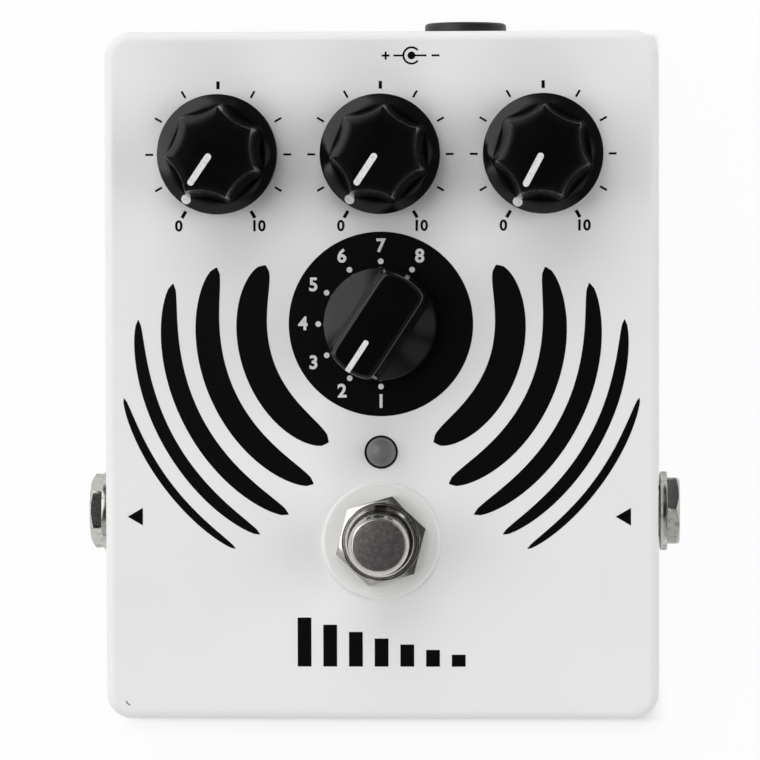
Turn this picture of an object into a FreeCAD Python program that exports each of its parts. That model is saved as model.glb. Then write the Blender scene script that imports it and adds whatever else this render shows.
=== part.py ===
"""Delay effects pedal: die-cast box, three dials, selector, lamp, foot switch, jacks and electronics.

Millimetres, +Z out of the face, +Y towards the end with the power socket, +X to the input jack.
The origin is the middle of the plane that the rubber feet stand on.
"""

import FreeCAD, Part

import math
import os

V = FreeCAD.Vector
X_AXIS = V(1, 0, 0)
Y_AXIS = V(0, 1, 0)
Z_AXIS = V(0, 0, 1)
STRAIGHT_DOWN = -90.0        # on the face, as an angle from +X

# Case
CASE_WIDTH = 94.0            # across the open mouth, where the casting is widest
CASE_LENGTH = 116.5
BODY_DEPTH = 31.4            # mouth to face
DRAFT_DEG = 1.45
CORNER_R = 4.3               # plan corners at the mouth
FACE_FILLET = 1.6
SIDE_WALL = 2.2
FACE_WALL = 2.2
COVER_T = 2.6
RIDGE_H = 2.0                # the ridge on the cover that centres it in the mouth
RIDGE_W = 1.8
RIDGE_GAP = 0.3
COVER_CHAMFER = 0.4
FOOT_D = 10.0
FOOT_H = 2.4
FOOT_SIDES = 24
FOOT_INSET_X = 13.0          # from the cover's edges to a foot's middle
FOOT_INSET_Y = 14.0

# Cover screws and the posts that they bite into
SCREW_D = 3.0
SCREW_HEAD_D = 5.8
SCREW_LAND = 0.2             # the head's straight rim
SCREW_L = 11.0
SCREW_INSET = 5.4
SCREW_SIDES = 12
POST_D = 7.2
POST_HOLE_EXTRA = 2.0        # the hole runs on past the screw's tip

# Clearances
FIT = 0.05                   # between pieces that seat in each other
RUN_FIT = 0.04               # radial, shaft in its bushing
HOLE_GAP = 0.15              # radial, bushing in its panel hole
SEAT_GAP = 0.02              # between flat faces that are clamped together
BUSHING_ROOM = 0.6           # over and round a bushing's end, inside a knob

# Flat sides that stand for a round
HIDDEN_SIDES = 16            # on screw threads, and on what a knob or the case hides

# Where the controls stand on the face, from its middle
DIAL_PITCH = 27.1
DIAL_Y = 37.0
SELECTOR_Y = 8.7
LAMP_Y = -12.7
FOOTSWITCH_Y = -27.5

# Dial knobs
KNOB_D = 20.0
KNOB_H = 15.4
KNOB_LIFT = 0.7              # gap between the skirt and the face
SKIRT_RIM_H = 1.5
SKIRT_RISE = 1.7             # how far the skirt slopes up to the grip
SKIRT_W = 1.55               # how far the skirt stands out round the grip's foot
GRIP_DRAFT = 0.55            # how far the grip's points lean in up to the top
FLUTES = 7
FLUTE_DEPTH_TOP = 1.42       # from the points of the grip to the deepest line of a flute
FLUTE_DEPTH_FOOT = 1.15
FLUTE_R = 9.3
POINTER_DEG = {"time": 30.5, "repeat": 30.4, "mix": 25.0, "selector": 33.3}   # left of straight down

# Selector knob
BAR_KNOB_D = 18.9
BAR_KNOB_H = 14.6
BAR_RIM_H = 2.6
BAR_SHOULDER = 1.1
BAR_TOP_W = 8.0
BAR_FOOT_W = 10.2
BAR_END_DRAFT = 0.45
BAR_BEVEL = 0.7

# Shafts
SHAFT_D = 6.0
SHAFT_FLAT = 4.6             # across the flat and the round side
SHAFT_ABOVE_FACE = 12.6
SHAFT_FLAT_L = 9.4

# Rotary potentiometers
POT_BUSHING_WALL = 0.46
POT_BUSHING_ABOVE = 3.0
POT_BODY_W = 9.8
POT_BODY_L = 11.4
POT_PLATE_T = 1.0
POT_BASE_H = 5.6
POT_LEG_W = 3.0
POT_LEG_T = 0.8
POT_PIN_PITCH = 2.5
POT_PIN_Y = -6.6             # the row of pins, from the shaft's axis
PIN_W = 0.9
PIN_T = 0.5
PIN_BELOW_BOARD = 1.2
PIN_UNDER = 1.5              # how far a pin is held under its base
POT_NUT_WALL = 1.45          # from the bore to a flat
POT_NUT_T = 2.0
POT_NUT_DEG = 11.0           # direction of one corner, as it was left when it was done up

# Rotary selector switch
SEL_BUSHING_WALL = 1.46
SEL_BUSHING_ABOVE = 2.9
SEL_BODY_SIDE = 17.6
SEL_BODY_BEVEL = 3.0
SEL_PLATE_T = 3.0
SEL_BODY_H = 5.6
SEL_PIN_RING_D = 14.6
SEL_POSITIONS = 8
SEL_STEP_DEG = 30.0
SEL_COMMON_PIN = (3.4, -1.6)
SEL_NUT_WALL = 1.45
SEL_NUT_T = 2.2
SEL_NUT_DEG = 20.0

# Lamp
LAMP_D = 5.0
LAMP_GAP = 0.3               # radial, in its hole
LAMP_L = 8.6
LAMP_ABOVE_FACE = 2.1
LAMP_LEAD_PITCH = 2.54
LAMP_LEAD_W = 0.5

# Foot switch
FS_COLLAR_WALL = 0.86
FS_COLLAR_ABOVE = 4.7
FS_NOTCH_W = 2.0
FS_NOTCH_L = 1.5             # how far the keyway reaches down the collar
FS_BUTTON_D = 10.0
FS_BUTTON_ABOVE = 12.4
FS_BUTTON_BEVEL = 0.7
FS_CAP_L = 11.0              # length of the button's guided part
FS_STEM_W = 3.0
FS_STEM_IN = 1.2             # how far the stem reaches into the switch body at rest
FS_FRAME_SIDE = 17.2
FS_FRAME_T = 1.6
FS_STRAP_T = 0.8
FS_STRAP_W = 9.0
FS_STRAP_L = 6.0
FS_BODY_H = 9.4
FS_WELL_W = 5.0
FS_WELL_DEPTH = 5.2
FS_LUG_W = 1.9
FS_LUG_T = 0.8
FS_LUG_L = 4.2
FS_LUG_PITCH_X = 5.3
FS_LUG_PITCH_Y = 4.7
FS_NUT_WALL = 0.8
FS_NUT_T = 2.2
FS_NUT_DEG = 75.6            # direction of one corner of the top nut
FS_WASHER_W = 3.95           # from its bore to its rim
FS_WASHER_T = 0.8
SPRING_MEAN_D = 6.0
SPRING_WIRE = 0.6
SPRING_TURNS = 3
SPRING_STEPS = 16            # of one turn
NUT_RIM = 0.97               # of a nut's width across flats, the circle left on its outer face

# Audio jacks
JACK_Y = -23.5
JACK_BORE_D = 6.44           # for a 6.35 mm plug
JACK_SLEEVE_WALL = 1.28
JACK_SLEEVE_L = 10.0
JACK_PLUG_L = 31.2
JACK_PLUG_ROOM = 0.48        # beside the plug, inside the moulded body
JACK_BODY_W = 14.6
JACK_BODY_H = 13.6
JACK_BODY_BEVEL = 1.0
JACK_END_WALL = 1.4
JACK_WASHER_W = 2.15
JACK_WASHER_T = 1.2
JACK_NUT_WALL = 0.95
JACK_NUT_T = 2.1
JACK_NUT_DEG = {"input": 84.0, "output": 65.0}   # direction of one corner, seen from outside
JACK_SPRING_W = 3.0
JACK_SPRING_T = 0.4
JACK_SPRING_Y = 4.4          # height of the spring's straight run over the axis
JACK_NOSE_Y = 2.4            # height of its nose, inside the plug's room
JACK_NOSE_L = 10.0           # from the end wall to the nose
JACK_NOSE_RUN = 2.4          # length of the slope on each side of the nose
JACK_TAIL_L = 3.2            # how far the spring's tail reaches out behind
JACK_SLOT_SIDE = 0.2         # room beside the spring in its slot

# Power socket
POWER_X = 13.8
POWER_FLANGE_W = 1.35        # how far the flange stands out round the barrel
POWER_FLANGE_T = 1.5
POWER_BARREL_WALL = 2.6
POWER_BARREL_L = 12.4
POWER_BORE_D = 6.0
POWER_BORE_L = 10.2
POWER_PIN_D = 2.0
POWER_PIN_L = 9.4
POWER_NUT_WALL = 1.35
POWER_NUT_T = 2.4
POWER_NUT_DEG = 30.0
POWER_BOARD_GAP = 2.5
POWER_TAB_T = 0.8
POWER_TAB_W = 1.6
POWER_TAB_OUT = 1.2          # from the bore to the tab
POWER_TAB_IN = 2.6           # how far the tab is held in the barrel
POWER_TAIL_L = 2.4           # how far pin and tab reach out behind before they turn up

# Boards
BOARD_T = 1.6
BOARD_SIDE_GAP = 4.2         # to the case's side walls
BOARD_TOP_GAP = 8.6          # to the end wall, clear of the posts
BOARD_BOTTOM_Y = -15.0
SWITCH_STANDOFF = 0.3
JACK_TAIL_LANDING = 1.2      # how far a jack's tail lies on the switch board
SWITCH_BOARD_L = 19.0
SWITCH_BOARD_GAP = 0.8
HOLE_ROOM = 0.2              # of a board's holes round the pins in them
CHIP_SIDE = 9.0
CHIP_T = 1.5
CHIP_LEADS = 4               # on each side
CHIP_PITCH = 1.8
CHIP_AT = (-20.0, 8.0)
SMALL_CHIP_L = 5.0
SMALL_CHIP_W = 4.0
SMALL_CHIP_T = 1.6
SMALL_CHIP_LEADS = 3
SMALL_CHIP_PITCH = 1.6
SMALL_CHIPS_AT = [(20.0, 20.0), (20.0, 8.0)]
CHIP_LIFT = 0.15             # between a chip and its board
LEAD_W = 0.5
LEAD_L = 1.2
LEAD_T = 0.9
CAP_D = 6.3
CAP_H = 7.4
CAP_SIDES = 16
CAPS_AT = [(32.0, 16.0), (32.0, 6.0)]
FILM_CAP = (7.2, 4.5, 6.5)
FILM_CAPS_AT = [(-28.0, -6.0), (26.0, -6.0)]
RIBBON_W = 8.0
RIBBON_T = 1.0
RIBBON_BEND_R = 1.5
RIBBON_START = 7.0           # from the main board's edge to the ribbon
RIBBON_END = 1.8             # from the switch board's edge to the ribbon
RIBBON_DROP = 3.4            # how far the ribbon hangs under the switch board

# Diameters and widths across flats that follow from the sizes above
POT_BUSHING_D = SHAFT_D + 2 * (RUN_FIT + POT_BUSHING_WALL)
POT_NUT_AF = POT_BUSHING_D + 2 * (FIT + POT_NUT_WALL)
SEL_BUSHING_D = SHAFT_D + 2 * (RUN_FIT + SEL_BUSHING_WALL)
SEL_NUT_AF = SEL_BUSHING_D + 2 * (FIT + SEL_NUT_WALL)
LAMP_HOLE_D = LAMP_D + 2 * LAMP_GAP
FS_COLLAR_D = FS_BUTTON_D + 2 * (RUN_FIT + FS_COLLAR_WALL)
FS_NUT_AF = FS_COLLAR_D + 2 * (FIT + FS_NUT_WALL)
FS_WASHER_D = FS_COLLAR_D + 2 * (FIT + FS_WASHER_W)
JACK_SLEEVE_D = JACK_BORE_D + 2 * JACK_SLEEVE_WALL
JACK_CAVITY_W = JACK_BORE_D + 2 * JACK_PLUG_ROOM
JACK_WASHER_D = JACK_SLEEVE_D + 2 * (FIT + JACK_WASHER_W)
JACK_NUT_AF = JACK_SLEEVE_D + 2 * (FIT + JACK_NUT_WALL)
POWER_BARREL_D = POWER_BORE_D + 2 * POWER_BARREL_WALL
POWER_FLANGE_D = POWER_BARREL_D + 2 * POWER_FLANGE_W
POWER_NUT_AF = POWER_BARREL_D + 2 * (FIT + POWER_NUT_WALL)

# Levels
Z_COVER = FOOT_H
Z_MOUTH = Z_COVER + COVER_T
Z_FACE = Z_MOUTH + BODY_DEPTH
Z_CEILING = Z_FACE - FACE_WALL
Z_JACK = (Z_MOUTH + Z_CEILING) / 2
Z_SELECTOR_FOOT = Z_CEILING - SEAT_GAP - SEL_PLATE_T - SEL_BODY_H
Z_BOARD_TOP = Z_SELECTOR_FOOT - SWITCH_STANDOFF
Z_BOARD = Z_BOARD_TOP - BOARD_T
Z_POWER = Z_BOARD - POWER_BOARD_GAP - POWER_BARREL_D / 2
Z_KNOB = Z_FACE + KNOB_LIFT
SLOPE = math.tan(math.radians(DRAFT_DEG))

POST_X = CASE_WIDTH / 2 - SCREW_INSET
POST_Y = CASE_LENGTH / 2 - SCREW_INSET
CORNERS = [(sx, sy) for sx in (-1, 1) for sy in (-1, 1)]
DIALS = {"time": -DIAL_PITCH, "repeat": 0.0, "mix": DIAL_PITCH}
JACKS = {"input": 1, "output": -1}


def half_width(z):
    """Half the case's outer width at a height on its drafted walls."""
    return CASE_WIDTH / 2 - (z - Z_MOUTH) * SLOPE


def half_length(z):
    return CASE_LENGTH / 2 - (z - Z_MOUTH) * SLOPE


def cylinder(d, h, at, axis=Z_AXIS):
    return Part.makeCylinder(d / 2, h, V(*at), axis)


def block(size, low):
    return Part.makeBox(size[0], size[1], size[2], V(*low))


def centred_block(size, middle, z):
    """A box whose foot is centred on a point of the plane at z."""
    return block(size, (middle[0] - size[0] / 2, middle[1] - size[1] / 2, z))


def moved_by(shape, placement):
    """A copy of a shape, moved on from where it lies."""
    copy = shape.copy()
    copy.Placement = placement.multiply(copy.Placement)
    return copy


def placed(shape, at, axis=Z_AXIS):
    """A copy of a shape modelled along +Z at the origin, moved to a point with its axis turned."""
    return moved_by(shape, FreeCAD.Placement(V(*at), FreeCAD.Rotation(Z_AXIS, axis)))


def revolved(profile):
    """A solid of revolution about Z from (radius, height) points."""
    points = [V(r, 0, z) for r, z in profile]
    face = Part.Face(Part.makePolygon(points + points[:1]))
    return face.revolve(V(0, 0, 0), Z_AXIS, 360)


def rounded_rect(width, length, radius, z):
    """A closed outline with round corners, centred on the Z axis."""
    hx, hy, k = width / 2, length / 2, radius * (1 - math.sqrt(0.5))
    lines = [
        ((-hx + radius, -hy), (hx - radius, -hy)),
        ((hx, -hy + radius), (hx, hy - radius)),
        ((hx - radius, hy), (-hx + radius, hy)),
        ((-hx, hy - radius), (-hx, -hy + radius)),
    ]
    bends = [(hx - k, -hy + k), (hx - k, hy - k), (-hx + k, hy - k), (-hx + k, -hy + k)]
    edges = []
    for i, (start, end) in enumerate(lines):
        after = lines[(i + 1) % 4][0]
        edges.append(Part.LineSegment(V(*start, z), V(*end, z)).toShape())
        edges.append(Part.Arc(V(*end, z), V(*bends[i], z), V(*after, z)).toShape())
    return Part.Wire(edges)


def wedge(half_x, half_y, z_low, z_high):
    """A block centred on the Z axis that narrows upwards by the casting's draft."""
    draft = (z_high - z_low) * SLOPE
    top_x, top_y = half_x - draft, half_y - draft
    solid = Part.makeWedge(-half_x, z_low, -half_y, -top_y, -top_x, half_x, z_high, half_y, top_y, top_x)
    return moved_by(solid, FreeCAD.Placement(V(0, 0, 0), FreeCAD.Rotation(X_AXIS, 90)))


def upright_edges(solid):
    """The edges that run from a solid's foot to its top."""
    return [e for e in solid.Edges if e.BoundBox.ZLength > solid.BoundBox.ZLength * 0.99]


def flat_sided(sides, d, z):
    """A regular outline in the plane at z, with a flat towards +X; d is across its flats."""
    r = d / 2 / math.cos(math.pi / sides)
    angles = [(i + 0.5) * 2 * math.pi / sides for i in range(sides)]
    points = [V(r * math.cos(angle), r * math.sin(angle), z) for angle in angles]
    return Part.makePolygon(points + points[:1])


def prism(sides, d, h, at):
    """An upright bar with flat sides, for small rounds that repeat or that nothing shows."""
    return placed(Part.Face(flat_sided(sides, d, 0)).extrude(V(0, 0, h)), at)


def rounded_plate(width, length, radius, z, t):
    return Part.Face(rounded_rect(width, length, radius, z)).extrude(V(0, 0, t))


def edges_at(shape, z):
    """The edges of a shape that lie whole in the plane at z."""
    flat = [e for e in shape.Edges if abs(e.BoundBox.ZMin - z) < 1e-6 and abs(e.BoundBox.ZMax - z) < 1e-6]
    return flat


def plain_nut(across_flats, bore_d, h, corner_deg=0.0):
    """A nut along +Z, stamped from flat bar."""
    hexagon = turned(prism(6, across_flats, h, (0, 0, 0)), corner_deg - 30.0)
    return hexagon.cut(prism(HIDDEN_SIDES, bore_d, h, (0, 0, 0)))


def washer(d_out, d_in, t):
    """A flat washer that lies on the plane at 0."""
    return cylinder(d_out, t, (0, 0, 0)).cut(prism(HIDDEN_SIDES, d_in, t, (0, 0, 0)))


def turned_nut(across_flats, bore_d, h, corner_deg=0.0):
    """A nut along +Z with the corners of its outer face turned off at 30 degrees."""
    r = across_flats / math.sqrt(3)
    rim = across_flats / 2 * NUT_RIM
    drop = (r - rim) * math.tan(math.radians(30))
    blank = revolved([(0, 0), (r, 0), (r, h - drop), (rim, h), (0, h)])
    hexagon = turned(prism(6, across_flats, h, (0, 0, 0)), corner_deg - 30.0)
    return hexagon.common(blank).cut(prism(HIDDEN_SIDES, bore_d, h, (0, 0, 0)))


def pointer_direction(name):
    """Angle from +X of a knob's pointer, which rests left of straight down."""
    return STRAIGHT_DOWN - POINTER_DEG[name]


def turned(shape, degrees):
    """A copy turned about Z, so that what pointed along +X points that way."""
    return moved_by(shape, FreeCAD.Placement(V(0, 0, 0), FreeCAD.Rotation(Z_AXIS, degrees)))


def bent_path(points, bend_r):
    """Straight runs between points, with an arc of one radius at each inner point."""
    edges = []
    start = points[0]
    for before, corner, after in zip(points, points[1:], points[2:]):
        into = (corner - before).normalize()
        out = (after - corner).normalize()
        half = into.getAngle(out) / 2
        reach = bend_r * math.tan(half)
        a = corner - into * reach
        b = corner + out * reach
        inward = (out - into).normalize()
        middle = corner + inward * (bend_r / math.cos(half) - bend_r)
        edges.append(Part.LineSegment(start, a).toShape())
        edges.append(Part.Arc(a, middle, b).toShape())
        start = b
    edges.append(Part.LineSegment(start, points[-1]).toShape())
    return edges


# Case

def screw_post(sx, sy):
    """The boss in one corner of the casting: round inwards, flush with both walls outwards."""
    x, y, h, r = sx * POST_X, sy * POST_Y, Z_CEILING - Z_MOUTH, POST_D / 2
    reach = SCREW_INSET - SIDE_WALL / 2
    along_wall = centred_block((reach + r, reach, h), (x + sx * (reach - r) / 2, y + sy * reach / 2), Z_MOUTH)
    up_wall = centred_block((reach, reach + r, h), (x + sx * reach / 2, y + sy * (reach - r) / 2), Z_MOUTH)
    return cylinder(POST_D, h, (x, y, Z_MOUTH)).fuse([along_wall, up_wall]).removeSplitter()


def enclosure():
    """The casting: five drafted walls, four screw posts and every panel hole."""
    shell = wedge(CASE_WIDTH / 2, CASE_LENGTH / 2, Z_MOUTH, Z_FACE)
    shell = shell.makeFillet(CORNER_R, upright_edges(shell))
    shell = shell.makeFillet(FACE_FILLET, edges_at(shell, Z_FACE))
    cavity = wedge(CASE_WIDTH / 2 - SIDE_WALL, CASE_LENGTH / 2 - SIDE_WALL, Z_MOUTH, Z_CEILING)
    cavity = cavity.cut([screw_post(sx, sy) for sx, sy in CORNERS])
    hole_l = SCREW_L - COVER_T + POST_HOLE_EXTRA
    screw_hole = prism(SCREW_SIDES, SCREW_D + 2 * FIT, hole_l, (0, 0, Z_MOUTH))
    cuts = [placed(screw_hole, (sx * POST_X, sy * POST_Y, 0)) for sx, sy in CORNERS]
    through = FACE_WALL * 2
    face_holes = [(x, DIAL_Y, POT_BUSHING_D + 2 * HOLE_GAP) for x in DIALS.values()]
    face_holes += [
        (0, SELECTOR_Y, SEL_BUSHING_D + 2 * HOLE_GAP),
        (0, LAMP_Y, LAMP_HOLE_D),
        (0, FOOTSWITCH_Y, FS_COLLAR_D + 2 * HOLE_GAP),
    ]
    cuts += [cylinder(d, through, (x, y, Z_FACE - 1.5 * FACE_WALL)) for x, y, d in face_holes]
    side = 2 * SIDE_WALL
    for s in JACKS.values():
        foot = (s * (half_width(Z_JACK) - 1.5 * SIDE_WALL), JACK_Y, Z_JACK)
        cuts.append(cylinder(JACK_SLEEVE_D + 2 * HOLE_GAP, side, foot, X_AXIS * s))
    foot = (POWER_X, half_length(Z_POWER) - 1.5 * SIDE_WALL, Z_POWER)
    cuts.append(cylinder(POWER_BARREL_D + 2 * HOLE_GAP, side, foot, Y_AXIS))
    return shell.cut(cavity).cut(cuts)


def bottom_cover():
    """The lid: a plate the size of the mouth, four centring ridges and countersunk holes."""
    plate = rounded_plate(CASE_WIDTH, CASE_LENGTH, CORNER_R, Z_COVER, COVER_T)
    plate = plate.makeChamfer(COVER_CHAMFER, edges_at(plate, Z_COVER))
    lip = SIDE_WALL + RIDGE_GAP + RIDGE_H * SLOPE
    x, y = CASE_WIDTH / 2 - lip, CASE_LENGTH / 2 - lip
    half_x = POST_X - POST_D / 2 - RIDGE_GAP
    half_y = POST_Y - POST_D / 2 - RIDGE_GAP
    ridges = []
    for s in (-1, 1):
        ridges.append(centred_block((RIDGE_W, 2 * half_y, RIDGE_H), (s * (x - RIDGE_W / 2), 0), Z_MOUTH))
        ridges.append(centred_block((2 * half_x, RIDGE_W, RIDGE_H), (0, s * (y - RIDGE_W / 2)), Z_MOUTH))
    sinks = [placed(screw_shape(FIT, COVER_T), (sx * POST_X, sy * POST_Y, Z_COVER)) for sx, sy in CORNERS]
    return plate.fuse(ridges).removeSplitter().cut(sinks)


def screw_shape(extra, length):
    """A countersunk screw, head down, or with some extra all round, the hole for it."""
    head_d, shank_d = SCREW_HEAD_D + 2 * extra, SCREW_D + 2 * extra
    taper = (head_d - shank_d) / 2
    top = SCREW_LAND + taper
    head = prism(SCREW_SIDES, head_d, top, (0, 0, 0))
    head = head.makeChamfer(taper, edges_at(head, top))
    return head.fuse(prism(SCREW_SIDES, shank_d, length, (0, 0, 0))).removeSplitter()


def cover_screws():
    screw = screw_shape(0.0, SCREW_L)
    return Part.makeCompound([placed(screw, (sx * POST_X, sy * POST_Y, Z_COVER)) for sx, sy in CORNERS])


def rubber_feet():
    """Four stick-on bumpers under the cover."""
    foot = prism(FOOT_SIDES, FOOT_D, FOOT_H, (0, 0, 0))
    x = CASE_WIDTH / 2 - FOOT_INSET_X
    y = CASE_LENGTH / 2 - FOOT_INSET_Y
    return Part.makeCompound([placed(foot, (sx * x, sy * y, 0)) for sx, sy in CORNERS])


# Dials

def flat_side(d, h, z, gap=0.0):
    """What the flat takes off a round bar that points along +X."""
    return block((d, 2 * d, h), (-d - (SHAFT_FLAT - SHAFT_D / 2) - gap, -d, z))


def turning_shaft(z_foot):
    """A shaft that is flatted as far down as the bushing, in place about Z."""
    z_end = Z_FACE + SHAFT_ABOVE_FACE
    bar = cylinder(SHAFT_D, z_end - z_foot, (0, 0, z_foot))
    return bar.cut(flat_side(SHAFT_D, SHAFT_FLAT_L, z_end - SHAFT_FLAT_L))


def knob_inside(nut_af, bushing_above):
    """The hollow under a knob: room for the nut and the bushing, and the flatted socket for the shaft."""
    d = SHAFT_D + 2 * FIT
    depth = Z_FACE + SHAFT_ABOVE_FACE + FIT - Z_KNOB
    socket = cylinder(d, depth, (0, 0, 0)).cut(flat_side(d, depth, 0, FIT))
    recess_d = 2 * (nut_af / math.sqrt(3) + BUSHING_ROOM)
    return prism(HIDDEN_SIDES, recess_d, bushing_above - KNOB_LIFT + BUSHING_ROOM, (0, 0, 0)).fuse(socket)


def dial_knob():
    """A skirted knob whose drafted grip has seven hollow flutes, one of its points along +X."""
    r = KNOB_D / 2
    z_grip = SKIRT_RIM_H + SKIRT_RISE
    foot_r = r - SKIRT_W
    top_r = foot_r - GRIP_DRAFT
    skirt = revolved([(0, 0), (r, 0), (r, SKIRT_RIM_H), (foot_r, z_grip), (0, z_grip)])
    grip_h = KNOB_H - z_grip
    grip = Part.makeCone(foot_r, top_r, grip_h, V(0, 0, z_grip))
    away = top_r - FLUTE_DEPTH_TOP + FLUTE_R
    cutter = Part.makeCone(away - foot_r + FLUTE_DEPTH_FOOT, FLUTE_R, grip_h, V(0, 0, z_grip))
    flutes = []
    for i in range(FLUTES):
        angle = math.radians((i + 0.5) * 360.0 / FLUTES)
        flutes.append(placed(cutter, (away * math.cos(angle), away * math.sin(angle), 0)))
    body = grip.cut(flutes).fuse(skirt).removeSplitter()
    return body.cut(knob_inside(POT_NUT_AF, POT_BUSHING_ABOVE))


def bar_knob():
    """The selector's knob: a round base with one grip bar across it, pointing along +X."""
    r = BAR_KNOB_D / 2
    shoulder = BAR_RIM_H + BAR_SHOULDER
    half_foot, half_top = BAR_FOOT_W / 2, BAR_TOP_W / 2
    base = revolved([(0, 0), (r, 0), (r, BAR_RIM_H), (half_foot, shoulder), (0, shoulder)])
    section = [V(-r, -half_foot, BAR_RIM_H), V(-r, half_foot, BAR_RIM_H), V(-r, half_top, BAR_KNOB_H),
               V(-r, -half_top, BAR_KNOB_H)]
    bar = Part.Face(Part.makePolygon(section + section[:1])).extrude(V(2 * r, 0, 0))
    top_r = r - BAR_END_DRAFT
    drum = revolved([(0, 0), (r, 0), (r, BAR_RIM_H), (top_r, BAR_KNOB_H), (0, BAR_KNOB_H)])
    bar = bar.common(drum)
    bar = bar.makeChamfer(BAR_BEVEL, edges_at(bar, BAR_KNOB_H))
    return base.fuse(bar).removeSplitter().cut(knob_inside(SEL_NUT_AF, SEL_BUSHING_ABOVE))


def pot_frame():
    """A potentiometer's metal frame: the plate with its threaded bushing and two legs down to the board."""
    z = Z_CEILING - SEAT_GAP - POT_PLATE_T
    top = Z_FACE + POT_BUSHING_ABOVE
    plate = centred_block((POT_BODY_W, POT_BODY_L, POT_PLATE_T), (0, 0), z)
    neck = prism(HIDDEN_SIDES, POT_BUSHING_D, top - z, (0, 0, z))
    low = Z_BOARD_TOP + SEAT_GAP
    legs = []
    for s in (-1, 1):
        middle = (s * (POT_BODY_W - POT_LEG_T) / 2, 0)
        legs.append(centred_block((POT_LEG_T, POT_LEG_W, z - low), middle, low))
    bore = prism(HIDDEN_SIDES, SHAFT_D + 2 * RUN_FIT, top - z, (0, 0, z))
    return plate.fuse([neck] + legs).removeSplitter().cut(bore)


def pot_base():
    """A potentiometer's closed moulded base."""
    width = POT_BODY_W - 2 * (POT_LEG_T + SEAT_GAP)
    z_top = Z_CEILING - 2 * SEAT_GAP - POT_PLATE_T
    return centred_block((width, POT_BODY_L, POT_BASE_H), (0, 0), z_top - POT_BASE_H)


def pot_pin_places():
    """Where a potentiometer's three pins go down, from its shaft's axis."""
    return [(i * POT_PIN_PITCH, POT_PIN_Y) for i in (-1, 0, 1)]


def pot_pins():
    """The nine pins: each comes out of its base's foot and goes down through the board."""
    z_foot = Z_CEILING - 2 * SEAT_GAP - POT_PLATE_T - POT_BASE_H
    low = Z_BOARD - PIN_BELOW_BOARD
    pins = []
    for x in DIALS.values():
        for px, py in pot_pin_places():
            reach = POT_BODY_L / 2 + py
            upright = centred_block((PIN_W, PIN_T, z_foot - SEAT_GAP - low), (x + px, DIAL_Y + py), low)
            low_corner = (x + px - PIN_W / 2, DIAL_Y + py - PIN_T / 2, z_foot - SEAT_GAP - PIN_T)
            foot = block((PIN_W, PIN_T - reach + PIN_UNDER, PIN_T), low_corner)
            pins.append(upright.fuse(foot).removeSplitter())
    return Part.makeCompound(pins)


def dial_parts():
    """Every node of the three dials."""
    nodes = {}
    knob = dial_knob()
    shaft = turning_shaft(Z_CEILING - SEAT_GAP - POT_PLATE_T)
    frame = pot_frame()
    base = pot_base()
    nut = plain_nut(POT_NUT_AF, POT_BUSHING_D + 2 * FIT, POT_NUT_T, POT_NUT_DEG)
    for name, x in DIALS.items():
        at = (x, DIAL_Y, 0)
        nodes[name + "_knob"] = placed(turned(knob, pointer_direction(name)), (x, DIAL_Y, Z_KNOB))
        nodes[name + "_shaft"] = placed(turned(shaft, pointer_direction(name)), at)
        nodes[name + "_pot_frame"] = placed(frame, at)
        nodes[name + "_pot_base"] = placed(base, at)
    nodes["pot_nuts"] = Part.makeCompound([placed(nut, (x, DIAL_Y, Z_FACE)) for x in DIALS.values()])
    nodes["pot_pins"] = pot_pins()
    return nodes


# Selector

def selector_pin_places():
    """Eight position pins on a ring and one common pin near the middle, from the shaft's axis."""
    ring_r = SEL_PIN_RING_D / 2
    outer = []
    for i in range(SEL_POSITIONS):
        angle = math.radians(STRAIGHT_DOWN - SEL_STEP_DEG * i)
        outer.append((ring_r * math.cos(angle), ring_r * math.sin(angle)))
    return outer + [SEL_COMMON_PIN]


def clipped_block(side, h, z):
    """A square block with its four upright edges cut off."""
    body = centred_block((side, side, h), (0, 0), z)
    return body.makeChamfer(SEL_BODY_BEVEL, upright_edges(body))


def selector_parts():
    """Every node of the eight-way selector switch."""
    z_plate = Z_CEILING - SEAT_GAP - SEL_PLATE_T
    top = Z_FACE + SEL_BUSHING_ABOVE
    neck = prism(HIDDEN_SIDES, SEL_BUSHING_D, top - z_plate, (0, 0, z_plate))
    bore = prism(HIDDEN_SIDES, SHAFT_D + 2 * RUN_FIT, top - z_plate, (0, 0, z_plate))
    bushing = clipped_block(SEL_BODY_SIDE, SEL_PLATE_T, z_plate).fuse(neck).removeSplitter().cut(bore)
    body = clipped_block(SEL_BODY_SIDE, SEL_BODY_H - SEAT_GAP, Z_SELECTOR_FOOT)
    pin_low = Z_BOARD - PIN_BELOW_BOARD
    pin_size = (PIN_W, PIN_T, Z_SELECTOR_FOOT - SEAT_GAP - pin_low)
    pins = [centred_block(pin_size, place, pin_low) for place in selector_pin_places()]
    turn = pointer_direction("selector")
    nut = plain_nut(SEL_NUT_AF, SEL_BUSHING_D + 2 * FIT, SEL_NUT_T, SEL_NUT_DEG)
    at = (0, SELECTOR_Y, 0)
    return {
        "selector_knob": placed(turned(bar_knob(), turn), (0, SELECTOR_Y, Z_KNOB)),
        "selector_shaft": placed(turned(turning_shaft(z_plate), turn), at),
        "selector_bushing": placed(bushing, at),
        "selector_body": placed(body, at),
        "selector_pins": placed(Part.makeCompound(pins), at),
        "selector_nut": placed(nut, (0, SELECTOR_Y, Z_FACE)),
    }


# Lamp

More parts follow.
